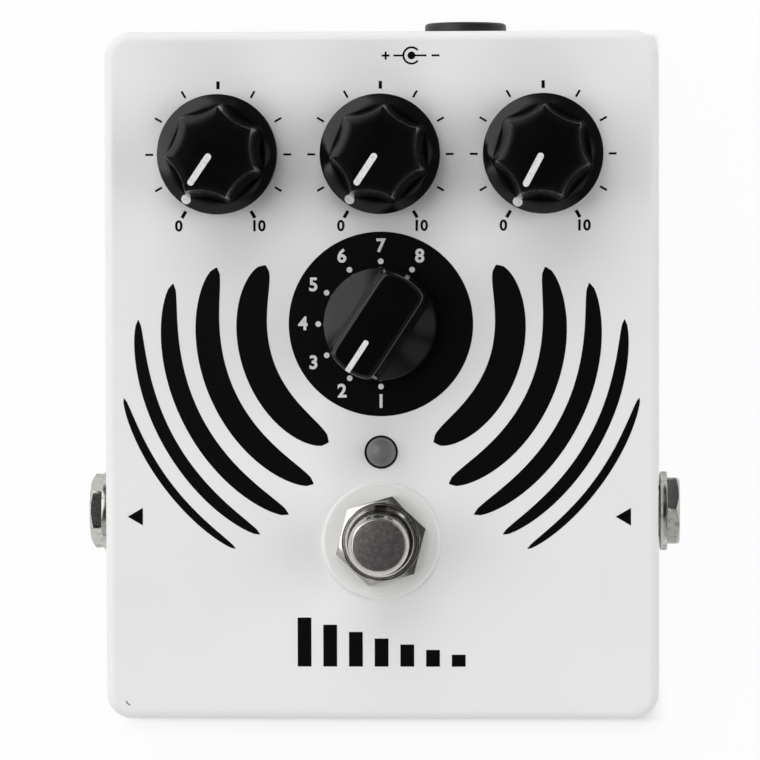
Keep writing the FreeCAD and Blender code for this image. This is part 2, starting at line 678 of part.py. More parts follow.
def lamp_parts():
    """The domed lamp and its two leads."""
    top = Z_FACE + LAMP_ABOVE_FACE
    foot = top - LAMP_L
    r = LAMP_D / 2
    barrel = cylinder(LAMP_D, LAMP_L - r, (0, 0, foot))
    lens = Part.makeSphere(r, V(0, 0, top - r)).fuse(barrel).removeSplitter()
    low = Z_BOARD - PIN_BELOW_BOARD
    leads = [
        centred_block((LAMP_LEAD_W, LAMP_LEAD_W, foot - SEAT_GAP - low), (s * LAMP_LEAD_PITCH / 2, 0), low)
        for s in (-1, 1)
    ]
    at = (0, LAMP_Y, 0)
    return {"status_lamp": placed(lens, at), "lamp_leads": placed(Part.makeCompound(leads), at)}


# Foot switch

def return_spring(z_low, z_high):
    """A coil of square wire between the frame's floor and the button, made of short straight runs."""
    r, half = SPRING_MEAN_D / 2, SPRING_WIRE / 2
    steps = SPRING_TURNS * SPRING_STEPS
    rise = (z_high - z_low - SPRING_WIRE) / steps
    points = []
    for i in range(steps + 1):
        angle = 2 * math.pi * i / SPRING_STEPS
        points.append(V(r * math.cos(angle), r * math.sin(angle), z_low + half + i * rise))
    section = [V(r - half, 0, -half), V(r + half, 0, -half), V(r + half, 0, half), V(r - half, 0, half)]
    outline = Part.makePolygon(section + section[:1])
    outline.translate(V(0, 0, z_low + half))
    return Part.makePolygon(points).makePipeShell([outline], True, False, 1)


def lug_places():
    """Three rows of three lugs, from the switch's axis."""
    return [(i * FS_LUG_PITCH_X, j * FS_LUG_PITCH_Y) for i in (-1, 0, 1) for j in (-1, 0, 1)]


def footswitch_levels():
    """Heights of the frame's plate, the switch body's top and its foot, from the panel down."""
    z_plate_top = Z_CEILING - FS_NUT_T - 2 * SEAT_GAP
    z_body_top = z_plate_top - FS_FRAME_T
    return z_plate_top, z_body_top, z_body_top - SEAT_GAP - FS_BODY_H


def footswitch_parts():
    """Every node of the foot switch."""
    z_plate_top, z_body_top, z_foot = footswitch_levels()
    collar_top = Z_FACE + FS_COLLAR_ABOVE
    button_top = Z_FACE + FS_BUTTON_ABOVE
    side = FS_FRAME_SIDE

    plate = centred_block((side, side, FS_FRAME_T), (0, 0), z_body_top)
    collar = cylinder(FS_COLLAR_D, collar_top - z_body_top, (0, 0, z_body_top))
    straps = []
    for s in (-1, 1):
        middle = (s * (side / 2 - FS_STRAP_T / 2), 0)
        straps.append(centred_block((FS_STRAP_T, FS_STRAP_W, FS_STRAP_L), middle, z_body_top - FS_STRAP_L))
    bore = cylinder(FS_BUTTON_D + 2 * RUN_FIT, collar_top - z_plate_top, (0, 0, z_plate_top))
    hole_w = FS_STEM_W + 2 * RUN_FIT
    stem_hole = centred_block((hole_w, hole_w, FS_FRAME_T), (0, 0), z_body_top)
    notch = block((FS_NOTCH_W, FS_COLLAR_D, FS_NOTCH_L), (-FS_NOTCH_W / 2, 0, collar_top - FS_NOTCH_L))
    frame = plate.fuse([collar] + straps).removeSplitter().cut([bore, stem_hole, notch])

    r = FS_BUTTON_D / 2
    cap_foot = button_top - FS_CAP_L
    stem_foot = z_body_top - FS_STEM_IN
    cap = revolved([
        (0, cap_foot), (r, cap_foot), (r, button_top - FS_BUTTON_BEVEL), (r - FS_BUTTON_BEVEL, button_top),
        (0, button_top),
    ])
    stem = centred_block((FS_STEM_W, FS_STEM_W, cap_foot - stem_foot), (0, 0), stem_foot)
    spring = return_spring(z_plate_top + SEAT_GAP, cap_foot - SEAT_GAP)

    body = centred_block((side - 2 * FS_STRAP_T - 2 * SEAT_GAP, side, FS_BODY_H), (0, 0), z_foot)
    well = centred_block((FS_WELL_W, FS_WELL_W, FS_WELL_DEPTH), (0, 0), z_foot + FS_BODY_H - FS_WELL_DEPTH)
    lug_foot = z_foot - SEAT_GAP - FS_LUG_L
    lugs = [centred_block((FS_LUG_W, FS_LUG_T, FS_LUG_L), place, lug_foot) for place in lug_places()]

    bore_d = FS_COLLAR_D + 2 * FIT
    nut = turned_nut(FS_NUT_AF, bore_d, FS_NUT_T, FS_NUT_DEG)
    back_nut = plain_nut(FS_NUT_AF, bore_d, FS_NUT_T)
    at = (0, FOOTSWITCH_Y, 0)
    return {
        "footswitch_button": placed(cap.fuse(stem), at),
        "footswitch_frame": placed(frame, at),
        "footswitch_body": placed(body.cut(well), at),
        "footswitch_spring": placed(spring, at),
        "footswitch_lugs": placed(Part.makeCompound(lugs), at),
        "footswitch_washer": placed(washer(FS_WASHER_D, bore_d, FS_WASHER_T), (0, FOOTSWITCH_Y, Z_FACE)),
        "footswitch_nut": placed(nut, (0, FOOTSWITCH_Y, Z_FACE + FS_WASHER_T)),
        "footswitch_back_nut": placed(back_nut, (0, FOOTSWITCH_Y, z_plate_top + SEAT_GAP)),
    }


# Audio jacks

def jack_seat():
    """Distance from the middle plane to where a jack's washer bears on the drafted wall."""
    return half_width(Z_JACK - JACK_WASHER_D / 2) + SEAT_GAP


def jack_mouth():
    """Distance from the middle plane to the outer face of a jack's nut."""
    return jack_seat() + JACK_WASHER_T + JACK_NUT_T


def jack_back():
    """Distance from the middle plane to the back of a jack's body."""
    return jack_mouth() - JACK_PLUG_L - JACK_END_WALL


def jack_body(z_front, z_back, z_sleeve):
    """The moulded body along +Z, open at the front for the sleeve and hollow for the plug and its spring."""
    body = centred_block((JACK_BODY_W, JACK_BODY_H, z_front - z_back), (0, 0), z_back)
    body = body.makeChamfer(JACK_BODY_BEVEL, upright_edges(body))
    seat = cylinder(JACK_SLEEVE_D + 2 * SEAT_GAP, z_front - z_sleeve, (0, 0, z_sleeve))
    wall = z_back + JACK_END_WALL
    cavity = centred_block((JACK_CAVITY_W, JACK_CAVITY_W, z_sleeve - wall), (0, 0), wall)
    slot_w = JACK_SPRING_W + 2 * JACK_SLOT_SIDE
    slot = block((slot_w, JACK_SPRING_Y + 2 * JACK_SPRING_T, z_sleeve - wall), (-slot_w / 2, 0, wall))
    exit_size = (slot_w, JACK_SPRING_T + 2 * SEAT_GAP, JACK_END_WALL)
    exit_slot = block(exit_size, (-slot_w / 2, tail_height() - SEAT_GAP, z_back))
    return body.cut([seat, cavity, slot, exit_slot])


def tail_height():
    """Height over a jack's axis at which its spring's tail lies on the switch board."""
    return footswitch_levels()[2] - SWITCH_BOARD_GAP + SEAT_GAP - Z_JACK


def jack_contact(z_back):
    """The tip spring: a bent strip with its nose in the plug's room and its tail out on the switch board."""
    t = JACK_SPRING_T
    low = tail_height()
    high = JACK_SPRING_Y
    tail = z_back - JACK_TAIL_L
    wall = z_back + JACK_END_WALL + SEAT_GAP
    nose = wall + JACK_NOSE_L
    bend = nose - JACK_NOSE_RUN
    tip = nose + JACK_NOSE_RUN
    points = [
        (low, tail), (low, wall + t), (high, wall + t), (high, bend), (JACK_NOSE_Y, nose), (high, tip),
        (high + t, tip), (JACK_NOSE_Y + t, nose), (high + t, bend), (high + t, wall), (low + t, wall),
        (low + t, tail),
    ]
    outline = [V(-JACK_SPRING_W / 2, y, z) for y, z in points]
    return Part.Face(Part.makePolygon(outline + outline[:1])).extrude(V(JACK_SPRING_W, 0, 0))


def along_x(shape, side, at):
    """Lays a shape modelled along +Z along +X or -X, keeping its +Y side up."""
    turn = FreeCAD.Rotation(V(0, side, 0), V(0, 0, 1), V(side, 0, 0), "ZXY")
    return moved_by(shape, FreeCAD.Placement(V(*at), turn))


def jack_parts():
    """Every node of the two audio jacks."""
    nodes = {}
    seat = jack_seat()
    front = half_width(Z_CEILING) - SIDE_WALL - SEAT_GAP
    sleeve_foot = jack_mouth() - JACK_SLEEVE_L
    back = jack_back()
    bore_d = JACK_SLEEVE_D + 2 * FIT
    bar = cylinder(JACK_SLEEVE_D, JACK_SLEEVE_L, (0, 0, sleeve_foot))
    sleeve = bar.cut(cylinder(JACK_BORE_D, JACK_SLEEVE_L, (0, 0, sleeve_foot)))
    nuts, washers = [], []
    for name, side in JACKS.items():
        at = (0, JACK_Y, Z_JACK)
        nodes[name + "_jack_body"] = along_x(jack_body(front, back, sleeve_foot), side, at)
        nodes[name + "_jack_sleeve"] = along_x(sleeve, side, at)
        nodes[name + "_jack_contact"] = along_x(jack_contact(back), side, at)
        nut = turned_nut(JACK_NUT_AF, bore_d, JACK_NUT_T, JACK_NUT_DEG[name])
        washers.append(along_x(placed(washer(JACK_WASHER_D, bore_d, JACK_WASHER_T), (0, 0, seat)), side, at))
        nuts.append(along_x(placed(nut, (0, 0, seat + JACK_WASHER_T)), side, at))
    nodes["jack_washers"] = Part.makeCompound(washers)
    nodes["jack_nuts"] = Part.makeCompound(nuts)
    return nodes


# Power socket

def along_y(shape, at):
    """Lays a shape modelled along +Z along +Y, keeping its +Y side up."""
    turn = FreeCAD.Rotation(V(-1, 0, 0), V(0, 0, 1), V(0, 1, 0), "ZXY")
    return moved_by(shape, FreeCAD.Placement(V(*at), turn))


def power_back():
    """Distance from the middle plane to the back of the power socket's barrel."""
    return half_length(Z_POWER - POWER_FLANGE_D / 2) + SEAT_GAP - POWER_BARREL_L


def power_tail_places():
    """Where the pin's and the tab's tails go up through the main board."""
    y = power_back() - POWER_TAIL_L + POWER_TAB_T / 2
    return [(POWER_X, y), (POWER_X - POWER_BORE_D / 2 - POWER_TAB_OUT, y)]


def power_tail(x, z_end):
    """A strip that leaves the barrel from z_end backwards and turns up to the main board."""
    back = power_back() - POWER_TAIL_L
    t = POWER_TAB_T
    top = Z_BOARD_TOP + PIN_BELOW_BOARD - Z_POWER
    points = [
        (-t / 2, z_end), (-t / 2, back), (top, back), (top, back + t), (t / 2, back + t), (t / 2, z_end),
    ]
    outline = [V(x - POWER_TAB_W / 2, y, z) for y, z in points]
    return Part.Face(Part.makePolygon(outline + outline[:1])).extrude(V(POWER_TAB_W, 0, 0))


def power_parts():
    """Every node of the power socket."""
    back = power_back()
    seat = back + POWER_BARREL_L
    mouth = seat + POWER_FLANGE_T
    bore_floor = mouth - POWER_BORE_L
    body = cylinder(POWER_BARREL_D, POWER_BARREL_L, (0, 0, back))
    body = body.fuse(cylinder(POWER_FLANGE_D, POWER_FLANGE_T, (0, 0, seat))).removeSplitter()
    bore = cylinder(POWER_BORE_D, POWER_BORE_L, (0, 0, bore_floor))
    tab_x = POWER_BORE_D / 2 + POWER_TAB_OUT
    slot = (POWER_TAB_W + 2 * SEAT_GAP, POWER_TAB_T + 2 * SEAT_GAP)
    pin_slot = centred_block((slot[0], slot[1], bore_floor - back), (0, 0), back)
    tab_slot = centred_block((slot[0], slot[1], POWER_TAB_IN + SEAT_GAP), (tab_x, 0), back)
    body = body.cut([bore, pin_slot, tab_slot])
    pin = cylinder(POWER_PIN_D, POWER_PIN_L, (0, 0, bore_floor + SEAT_GAP))
    pin = pin.fuse(power_tail(0, bore_floor + POWER_TAB_T)).removeSplitter()
    nut = plain_nut(POWER_NUT_AF, POWER_BARREL_D + 2 * FIT, POWER_NUT_T, POWER_NUT_DEG)
    inner_wall = half_length(Z_POWER + POWER_NUT_AF / math.sqrt(3)) - SIDE_WALL - SEAT_GAP
    at = (POWER_X, 0, Z_POWER)
    return {
        "power_socket_body": along_y(body, at),
        "power_socket_pin": along_y(pin, at),
        "power_socket_tab": along_y(power_tail(tab_x, back + POWER_TAB_IN), at),
        "power_socket_nut": along_y(placed(nut, (0, 0, inner_wall - POWER_NUT_T)), at),
    }


# Boards

def board_holes(places, width, length, z):
    """Holes for pins of one size, with a little room round each."""
    return [centred_block((width + HOLE_ROOM, length + HOLE_ROOM, BOARD_T), p, z) for p in places]


def main_board():
    """The board that carries the dials, the selector, the lamp and the power socket's tails."""
    half_w = half_width(Z_BOARD) - SIDE_WALL - BOARD_SIDE_GAP
    y_top = half_length(Z_BOARD) - SIDE_WALL - BOARD_TOP_GAP
    board = block((2 * half_w, y_top - BOARD_BOTTOM_Y, BOARD_T), (-half_w, BOARD_BOTTOM_Y, Z_BOARD))
    pins = [(x + px, DIAL_Y + py) for x in DIALS.values() for px, py in pot_pin_places()]
    pins += [(px, SELECTOR_Y + py) for px, py in selector_pin_places()]
    leads = [(s * LAMP_LEAD_PITCH / 2, LAMP_Y) for s in (-1, 1)]
    holes = board_holes(pins, PIN_W, PIN_T, Z_BOARD) + board_holes(leads, LAMP_LEAD_W, LAMP_LEAD_W, Z_BOARD)
    return board.cut(holes + board_holes(power_tail_places(), POWER_TAB_W, POWER_TAB_T, Z_BOARD))


def switch_board():
    """The small board soldered to the foot switch's lugs and the jacks' tails."""
    z = switch_board_foot()
    width = 2 * (jack_back() - JACK_TAIL_L + JACK_TAIL_LANDING)
    board = centred_block((width, SWITCH_BOARD_L, BOARD_T), (0, FOOTSWITCH_Y), z)
    places = [(px, FOOTSWITCH_Y + py) for px, py in lug_places()]
    return board.cut(board_holes(places, FS_LUG_W, FS_LUG_T, z))


def switch_board_foot():
    return footswitch_levels()[2] - SWITCH_BOARD_GAP - BOARD_T


def chip(length, width, t, row):
    """A chip under the main board with its leads, as (x, y, quarter turns) from its middle."""
    z_top = Z_BOARD - SEAT_GAP
    body = centred_block((length, width, t), (0, 0), z_top - CHIP_LIFT - t)
    lead = block((LEAD_L, LEAD_W, LEAD_T), (0, -LEAD_W / 2, z_top - LEAD_T))
    leads = [placed(turned(lead, 90 * quarter), (x, y, 0)) for x, y, quarter in row]
    return Part.makeCompound([body] + leads)


def processor_chip():
    """The large chip, with leads on four sides."""
    half = CHIP_SIDE / 2 + SEAT_GAP
    leads = []
    for i in range(CHIP_LEADS):
        step = (i - (CHIP_LEADS - 1) / 2) * CHIP_PITCH
        leads += [(half, step, 0), (step, half, 1), (-half, step, 2), (step, -half, 3)]
    return placed(chip(CHIP_SIDE, CHIP_SIDE, CHIP_T, leads), (*CHIP_AT, 0))


def small_chips():
    """The amplifier chips, with leads on two sides."""
    half = SMALL_CHIP_W / 2 + SEAT_GAP
    leads = []
    for i in range(SMALL_CHIP_LEADS):
        step = (i - (SMALL_CHIP_LEADS - 1) / 2) * SMALL_CHIP_PITCH
        leads += [(step, half, 1), (step, -half, 3)]
    piece = chip(SMALL_CHIP_L, SMALL_CHIP_W, SMALL_CHIP_T, leads)
    return Part.makeCompound([placed(piece, (*at, 0)) for at in SMALL_CHIPS_AT])


def capacitors():
    """Two can capacitors and two film ones, all under the main board."""
    z_top = Z_BOARD - SEAT_GAP
    can = prism(CAP_SIDES, CAP_D, CAP_H, (0, 0, z_top - CAP_H))
    film = centred_block(FILM_CAP, (0, 0), z_top - FILM_CAP[2])
    cans = [placed(can, (*at, 0)) for at in CAPS_AT]
    return Part.makeCompound(cans + [placed(film, (*at, 0)) for at in FILM_CAPS_AT])


def ribbon_cable():
    """The flat cable that hangs from the main board and runs under the switch board's edge."""
    y_start = BOARD_BOTTOM_Y + RIBBON_START
    z_start = Z_BOARD - SEAT_GAP
    z_end = switch_board_foot() - SEAT_GAP
    z_low = z_end - RIBBON_DROP
    y_end = FOOTSWITCH_Y + SWITCH_BOARD_L / 2 - RIBBON_END
    points = [V(0, y_start, z_start), V(0, y_start, z_low), V(0, y_end, z_low), V(0, y_end, z_end)]
    path = Part.Wire(bent_path(points, RIBBON_BEND_R))
    half_w, half_t = RIBBON_W / 2, RIBBON_T / 2
    section = [V(-half_w, y_start - half_t, z_start), V(half_w, y_start - half_t, z_start),
               V(half_w, y_start + half_t, z_start), V(-half_w, y_start + half_t, z_start)]
    return path.makePipeShell([Part.makePolygon(section + section[:1])], True, False)


def board_parts():
    return {
        "main_board": main_board(),
        "processor_chip": processor_chip(),
        "board_chips": small_chips(),
        "board_capacitors": capacitors(),
        "switch_board": switch_board(),
        "ribbon_cable": ribbon_cable(),
    }


def build():
    nodes = {
        "enclosure": enclosure(),
        "bottom_cover": bottom_cover(),
        "cover_screws": cover_screws(),
        "rubber_feet": rubber_feet(),
    }
    controls = (dial_parts, selector_parts, lamp_parts, footswitch_parts)
    for parts in (*controls, jack_parts, power_parts, board_parts):
        nodes.update(parts())
    return nodes


os.makedirs("parts", exist_ok=True)
for node, shape in build().items():
    shape.exportStep("parts/" + node + ".step")
    state = "valid" if shape.isValid() else "NOT VALID"
    print(node, len(shape.Solids), "solids", round(shape.Volume, 2), "mm3", state)
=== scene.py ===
"""Looks of a compact delay pedal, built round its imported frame.

Sizes are in millimetres and angles in degrees. Pieces are shaped along +Z from their own origin, then put in
place and scaled to metres.
"""

import logging
import math
from collections.abc import Callable, Iterable, Mapping, Sequence
from dataclasses import dataclass, field
from enum import Enum
from typing import Union

import bmesh
import bpy
from mathutils import Euler, Matrix, Vector

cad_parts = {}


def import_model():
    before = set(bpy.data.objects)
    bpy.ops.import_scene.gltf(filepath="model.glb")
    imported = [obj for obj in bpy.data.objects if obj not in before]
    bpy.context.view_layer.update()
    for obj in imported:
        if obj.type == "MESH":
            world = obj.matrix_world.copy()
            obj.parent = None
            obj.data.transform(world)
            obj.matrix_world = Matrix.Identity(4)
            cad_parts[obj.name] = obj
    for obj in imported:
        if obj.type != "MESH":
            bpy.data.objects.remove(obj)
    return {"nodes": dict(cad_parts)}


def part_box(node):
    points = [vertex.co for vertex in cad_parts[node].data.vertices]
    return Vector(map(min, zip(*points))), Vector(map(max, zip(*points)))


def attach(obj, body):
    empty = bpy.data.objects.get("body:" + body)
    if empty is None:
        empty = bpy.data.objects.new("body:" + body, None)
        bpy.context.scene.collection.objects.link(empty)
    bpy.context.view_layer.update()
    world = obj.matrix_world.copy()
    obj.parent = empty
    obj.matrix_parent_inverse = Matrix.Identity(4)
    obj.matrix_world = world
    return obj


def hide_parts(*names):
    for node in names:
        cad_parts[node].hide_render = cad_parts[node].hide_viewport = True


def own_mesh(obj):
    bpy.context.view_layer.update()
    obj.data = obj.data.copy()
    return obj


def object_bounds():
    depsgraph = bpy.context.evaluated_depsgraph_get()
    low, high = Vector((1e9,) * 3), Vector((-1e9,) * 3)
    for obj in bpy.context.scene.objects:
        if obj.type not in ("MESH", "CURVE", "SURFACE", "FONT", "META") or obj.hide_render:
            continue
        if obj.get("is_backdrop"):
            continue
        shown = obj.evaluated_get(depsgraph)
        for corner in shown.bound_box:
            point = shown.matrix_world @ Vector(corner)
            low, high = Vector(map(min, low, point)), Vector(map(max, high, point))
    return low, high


log = logging.getLogger("pedal")

MM = 0.001
SHARP_DEG = 32.0                # edges sharper than this stay crisp when a piece is shaded
STRAIGHT_DOWN = -90.0           # on the face, as an angle from +X
WELD = 1e-4                     # a piece's vertices closer than this are merged
COPY_WELD = 1e-3                # and those of a copied CAD node
CUT_REACH = 1e-5                # vertices this near to a cutting plane lie on it
NEAR = 0.01                     # what is this near to a level or an edge counts as on it
WHITE = (1.0, 1.0, 1.0)

Colour = tuple[float, float, float]
Place = tuple[float, float, float]
Pair = tuple[float, float]      # x and y, from and to, radius and height, or inwards and up
Profile = Sequence[Pair]
Outline = Callable[[float], float]
Radial = Union[float, Outline]


class Body(Enum):
    """The bodies of the frame."""

    HOUSING = "housing"
    TIME = "time_dial"
    REPEAT = "repeat_dial"
    MIX = "mix_dial"
    SELECTOR = "selector"
    FOOTSWITCH = "footswitch"


class Side(Enum):
    """The two long sides of the case, as the sign of their X."""

    INPUT = 1
    OUTPUT = -1


# Shaders


class Channel:
    """A node's output that Python's operators can calculate with."""

    def __init__(self, shader: "Shader", socket: bpy.types.NodeSocket) -> None:
        """Wraps one output of a shader's node."""
        self.shader = shader
        self.socket = socket

    def _combined(self, operation: str, left: "Input", right: "Input") -> "Channel":
        """Joins two values with a Math node, or with Vector Math where this channel is a vector.

        Args:
            operation: Blender's name for the sum.
            left: The first value.
            right: The second value.

        Returns:
            The result.
        """
        vector = self.socket.type == "VECTOR"
        kind = "ShaderNodeVectorMath" if vector else "ShaderNodeMath"
        if vector:
            left, right = (v if isinstance(v, (Channel, tuple)) else (v, v, v) for v in (left, right))
        return self.shader.node(kind, {"operation": operation}, {0: left, 1: right})

    def __add__(self, other: "Input") -> "Channel":
        """Sum."""
        return self._combined("ADD", self, other)

    def __radd__(self, other: "Input") -> "Channel":
        """Sum with the channel on the right."""
        return self._combined("ADD", other, self)

    def __sub__(self, other: "Input") -> "Channel":
        """Difference."""
        return self._combined("SUBTRACT", self, other)

    def __rsub__(self, other: "Input") -> "Channel":
        """Difference with the channel on the right."""
        return self._combined("SUBTRACT", other, self)

    def __mul__(self, other: "Input") -> "Channel":
        """Product."""
        return self._combined("MULTIPLY", self, other)

    def __rmul__(self, other: "Input") -> "Channel":
        """Product with the channel on the right."""
        return self._combined("MULTIPLY", other, self)

    def power(self, exponent: float) -> "Channel":
        """The channel raised to a power."""
        return self._combined("POWER", self, exponent)

    def folded(self, reach: float) -> "Channel":
        """The channel going to and fro between 0 and a reach."""
        return self._combined("PINGPONG", self, reach)

    def absolute(self) -> "Channel":
        """The channel without its sign."""
        return self.shader.node("ShaderNodeMath", {"operation": "ABSOLUTE"}, {0: self})

    def stepped(self, low: float, high: float) -> "Channel":
        """A soft step from 0 below one value to 1 above another, or the other way round.

        Args:
            low: The value at which the step starts from 0.
            high: The value at which it reaches 1, which may be the lower of the two.

        Returns:
            The step as a channel from 0 to 1.
        """
        settings = {"interpolation_type": "SMOOTHSTEP", "clamp": True}
        falling = low > high
        ends = (high, low) if falling else (low, high)
        sockets = {"Value": self, "From Min": ends[0], "From Max": ends[1]}
        step = self.shader.node("ShaderNodeMapRange", settings, sockets)
        return 1.0 - step if falling else step

    def stepped_mm(self, low: float, high: float) -> "Channel":
        """The same step for a length in metres, between values in millimetres."""
        return self.stepped(low * MM, high * MM)


Input = Union[Channel, float, tuple]


class Shader:
    """The node tree of a material or of the world, written as expressions."""

    def __init__(self, owner: bpy.types.Material | bpy.types.World) -> None:
        """Empties the owner's node tree.

        Args:
            owner: The material or the world.
        """
        owner.use_nodes = True
        self.owner = owner
        self.tree = owner.node_tree
        self.tree.nodes.clear()

    def node(
        self,
        kind: str,
        settings: Mapping[str, object] | None = None,
        sockets: Mapping[str | int, Input] | None = None,
        output: str | int = 0,
    ) -> Channel:
        """Adds a node of any kind.

        Args:
            kind: Blender's name for the type of node.
            settings: Its properties, set before its sockets.
            sockets: A value or a channel for each input, by name or by place.
            output: Which output to hand back.

        Returns:
            The chosen output.
        """
        made = self.tree.nodes.new(kind)
        for key, value in (settings or {}).items():
            setattr(made, key, value)
        for key, value in (sockets or {}).items():
            if isinstance(value, Channel):
                self.tree.links.new(value.socket, made.inputs[key])
            elif isinstance(value, tuple) and made.inputs[key].type == "RGBA":
                made.inputs[key].default_value = (*value, 1.0)
            else:
                made.inputs[key].default_value = value
        return Channel(self, made.outputs[output])

    def place(self) -> Channel:
        """The point being shaded, in metres in the object's own frame."""
        return self.node("ShaderNodeTexCoord", output="Object")

    def noise(
        self, feature_mm: float, detail: float = 2.0, roughness: float = 0.5, at: Input | None = None
    ) -> Channel:
        """Cloudy noise from 0 to 1.

        Args:
            feature_mm: The size of one lump.
            detail: How many finer layers it has.
            roughness: How strong those are.
            at: Where it is read, if not at the point itself.

        Returns:
            The noise's value.
        """
        sockets = {
            "Vector": self.place() if at is None else at,
            "Scale": 1.0 / (feature_mm * MM),
            "Detail": detail,
            "Roughness": roughness,
        }
        return self.node("ShaderNodeTexNoise", {}, sockets)

    def cells(self, feature_mm: float) -> Channel:
        """Distance to the nearest of scattered points, in cells."""
        sockets = {"Vector": self.place(), "Scale": 1.0 / (feature_mm * MM)}
        return self.node("ShaderNodeTexVoronoi", {}, sockets, "Distance")

    def axis(self, name: str, of: Channel | None = None) -> Channel:
        """One coordinate of the point or of another vector."""
        return self.node("ShaderNodeSeparateXYZ", {}, {0: of or self.place()}, name)

    def mixed(self, factor: Input, colour: Input, other: Input) -> Channel:
        """Blends from one colour to another."""
        return self.node("ShaderNodeMix", {"data_type": "RGBA"}, {0: factor, 6: colour, 7: other}, 2)

    def distance_mm(self, point: Place) -> Channel:
        """Distance from a point of the object.

        Args:
            point: The point, in millimetres.

        Returns:
            The distance in millimetres.
        """
        sockets = {0: self.place(), 1: tuple(c * MM for c in point)}
        distance = self.node("ShaderNodeVectorMath", {"operation": "DISTANCE"}, sockets, "Value")
        return distance * (1.0 / MM)

    def bumped(self, height: Channel, depth_mm: float) -> Channel:
        """A normal raised by a height from 0 to 1."""
        return self.node("ShaderNodeBump", {}, {"Height": height, "Distance": depth_mm * MM, "Strength": 1.0})

    def surface(self, **sockets: Input) -> bpy.types.Material:
        """Closes the tree with one Principled surface.

        Args:
            **sockets: Its inputs, with underscores for the spaces in their names.

        Returns:
            The finished material.
        """
        named = {key.replace("_", " "): value for key, value in sockets.items()}
        self.shown(self.node("ShaderNodeBsdfPrincipled", {}, named))
        return self.owner

    def shown(self, shader: Channel) -> None:
        """Sends a shader to the owner's output.

        Args:
            shader: The surface's or the background's shader.
        """
        kind = "World" if isinstance(self.owner, bpy.types.World) else "Material"
        out = self.tree.nodes.new("ShaderNodeOutput" + kind)
        self.tree.links.new(shader.socket, out.inputs["Surface"])


# Finishes


@dataclass(frozen=True)
class Finish:
    """A surface finish; each kind writes its own material, once."""

    name: str

    def material(self) -> bpy.types.Material:
        """The finish's material, made when it is first asked for."""
        known = bpy.data.materials.get(self.name)
        return known or self.write(Shader(bpy.data.materials.new(self.name)))

    def write(self, shader: Shader) -> bpy.types.Material:
        """Writes the finish into an empty shader.

        Args:
            shader: The new material's empty shader.

        Returns:
            The finished material.
        """
        raise NotImplementedError


@dataclass(frozen=True)
class PowderCoat(Finish):
    """Baked white paint: fine orange peel, painted shade along the lid's seam and one crescent nick at a
    corner.
    """

    colour: Colour = (0.86, 0.862, 0.865)
    dirt: Colour = (0.66, 0.65, 0.63)
    # bare metal in the nick, and also the painted shade along the lid's seam
    bare_and_seam_shade: Colour = (0.13, 0.128, 0.12)
    peel_depth: float = 0.012
    nick_at: Place = (-42.62, -54.9, 36.3)
    nick_about: Place = (-41.85, -54.15, 36.3)
    nick_r: float = 1.05
    nick_w: float = 0.11
    nick_l: float = 0.62
    nick_fade: float = 0.25
    nick_wobble: float = 0.12
    nick_blur: float = 0.05
    seam_z: float = 5.0
    seam_w: float = 0.1
    seam_blur: float = 0.06

    def write(self, shader: Shader) -> bpy.types.Material:
        """Writes the paint.

        Args:
            shader: The new material's empty shader.

        Returns:
            The finished material.
        """
        peel = shader.noise(2.4, 1.0)
        grain = shader.noise(0.28, 3.0, 0.6)
        specks = shader.cells(3.4).stepped(0.055, 0.035) * shader.noise(9.0).stepped(0.62, 0.70)
        soiled = shader.noise(22.0, 4.0).stepped(0.45, 0.95) * 0.16
        wobble = (shader.noise(0.5, 2.0) - 0.5) * self.nick_wobble
        off_arc = shader.distance_mm(self.nick_about) + wobble - self.nick_r
        near = shader.distance_mm(self.nick_at).stepped(self.nick_l, self.nick_l - self.nick_fade)
        nick = off_arc.absolute().stepped(self.nick_w + self.nick_blur, self.nick_w - self.nick_blur) * near
        # Painted shade: a dark line along the lid's seam, where shade falls in the gap between casting and
        # lid.
        off_seam = (shader.axis("Z") - self.seam_z * MM).absolute()
        seam_shade = off_seam.stepped_mm(self.seam_w + self.seam_blur, self.seam_w)
        colour = shader.mixed(soiled + specks * 0.5, self.colour, self.dirt)
        return shader.surface(
            Base_Color=shader.mixed(nick + seam_shade * 0.9, colour, self.bare_and_seam_shade),
            Roughness=0.36 + grain * 0.12 + nick * 0.2,
            Normal=shader.bumped(peel * 0.7 + grain * 0.3 - nick * 2.0, self.peel_depth),
        )


@dataclass(frozen=True)
class PrintInk(Finish):
    """Screen-printed ink with pinholes and a slightly uneven film."""

    colour: Colour = (0.0016, 0.0016, 0.0018)
    under: Colour = (0.009, 0.009, 0.009)

    def write(self, shader: Shader) -> bpy.types.Material:
        """Writes the ink.

        Args:
            shader: The new material's empty shader.

        Returns:
            The finished material.
        """
        film = shader.noise(0.5, 3.0, 0.6)
        pinholes = shader.cells(0.9).stepped(0.05, 0.03)
        return shader.surface(
            Base_Color=shader.mixed(pinholes * 0.5 + film * 0.12, self.colour, self.under),
            Roughness=0.20 + film * 0.10,
            Normal=shader.bumped(film, 0.004),
        )


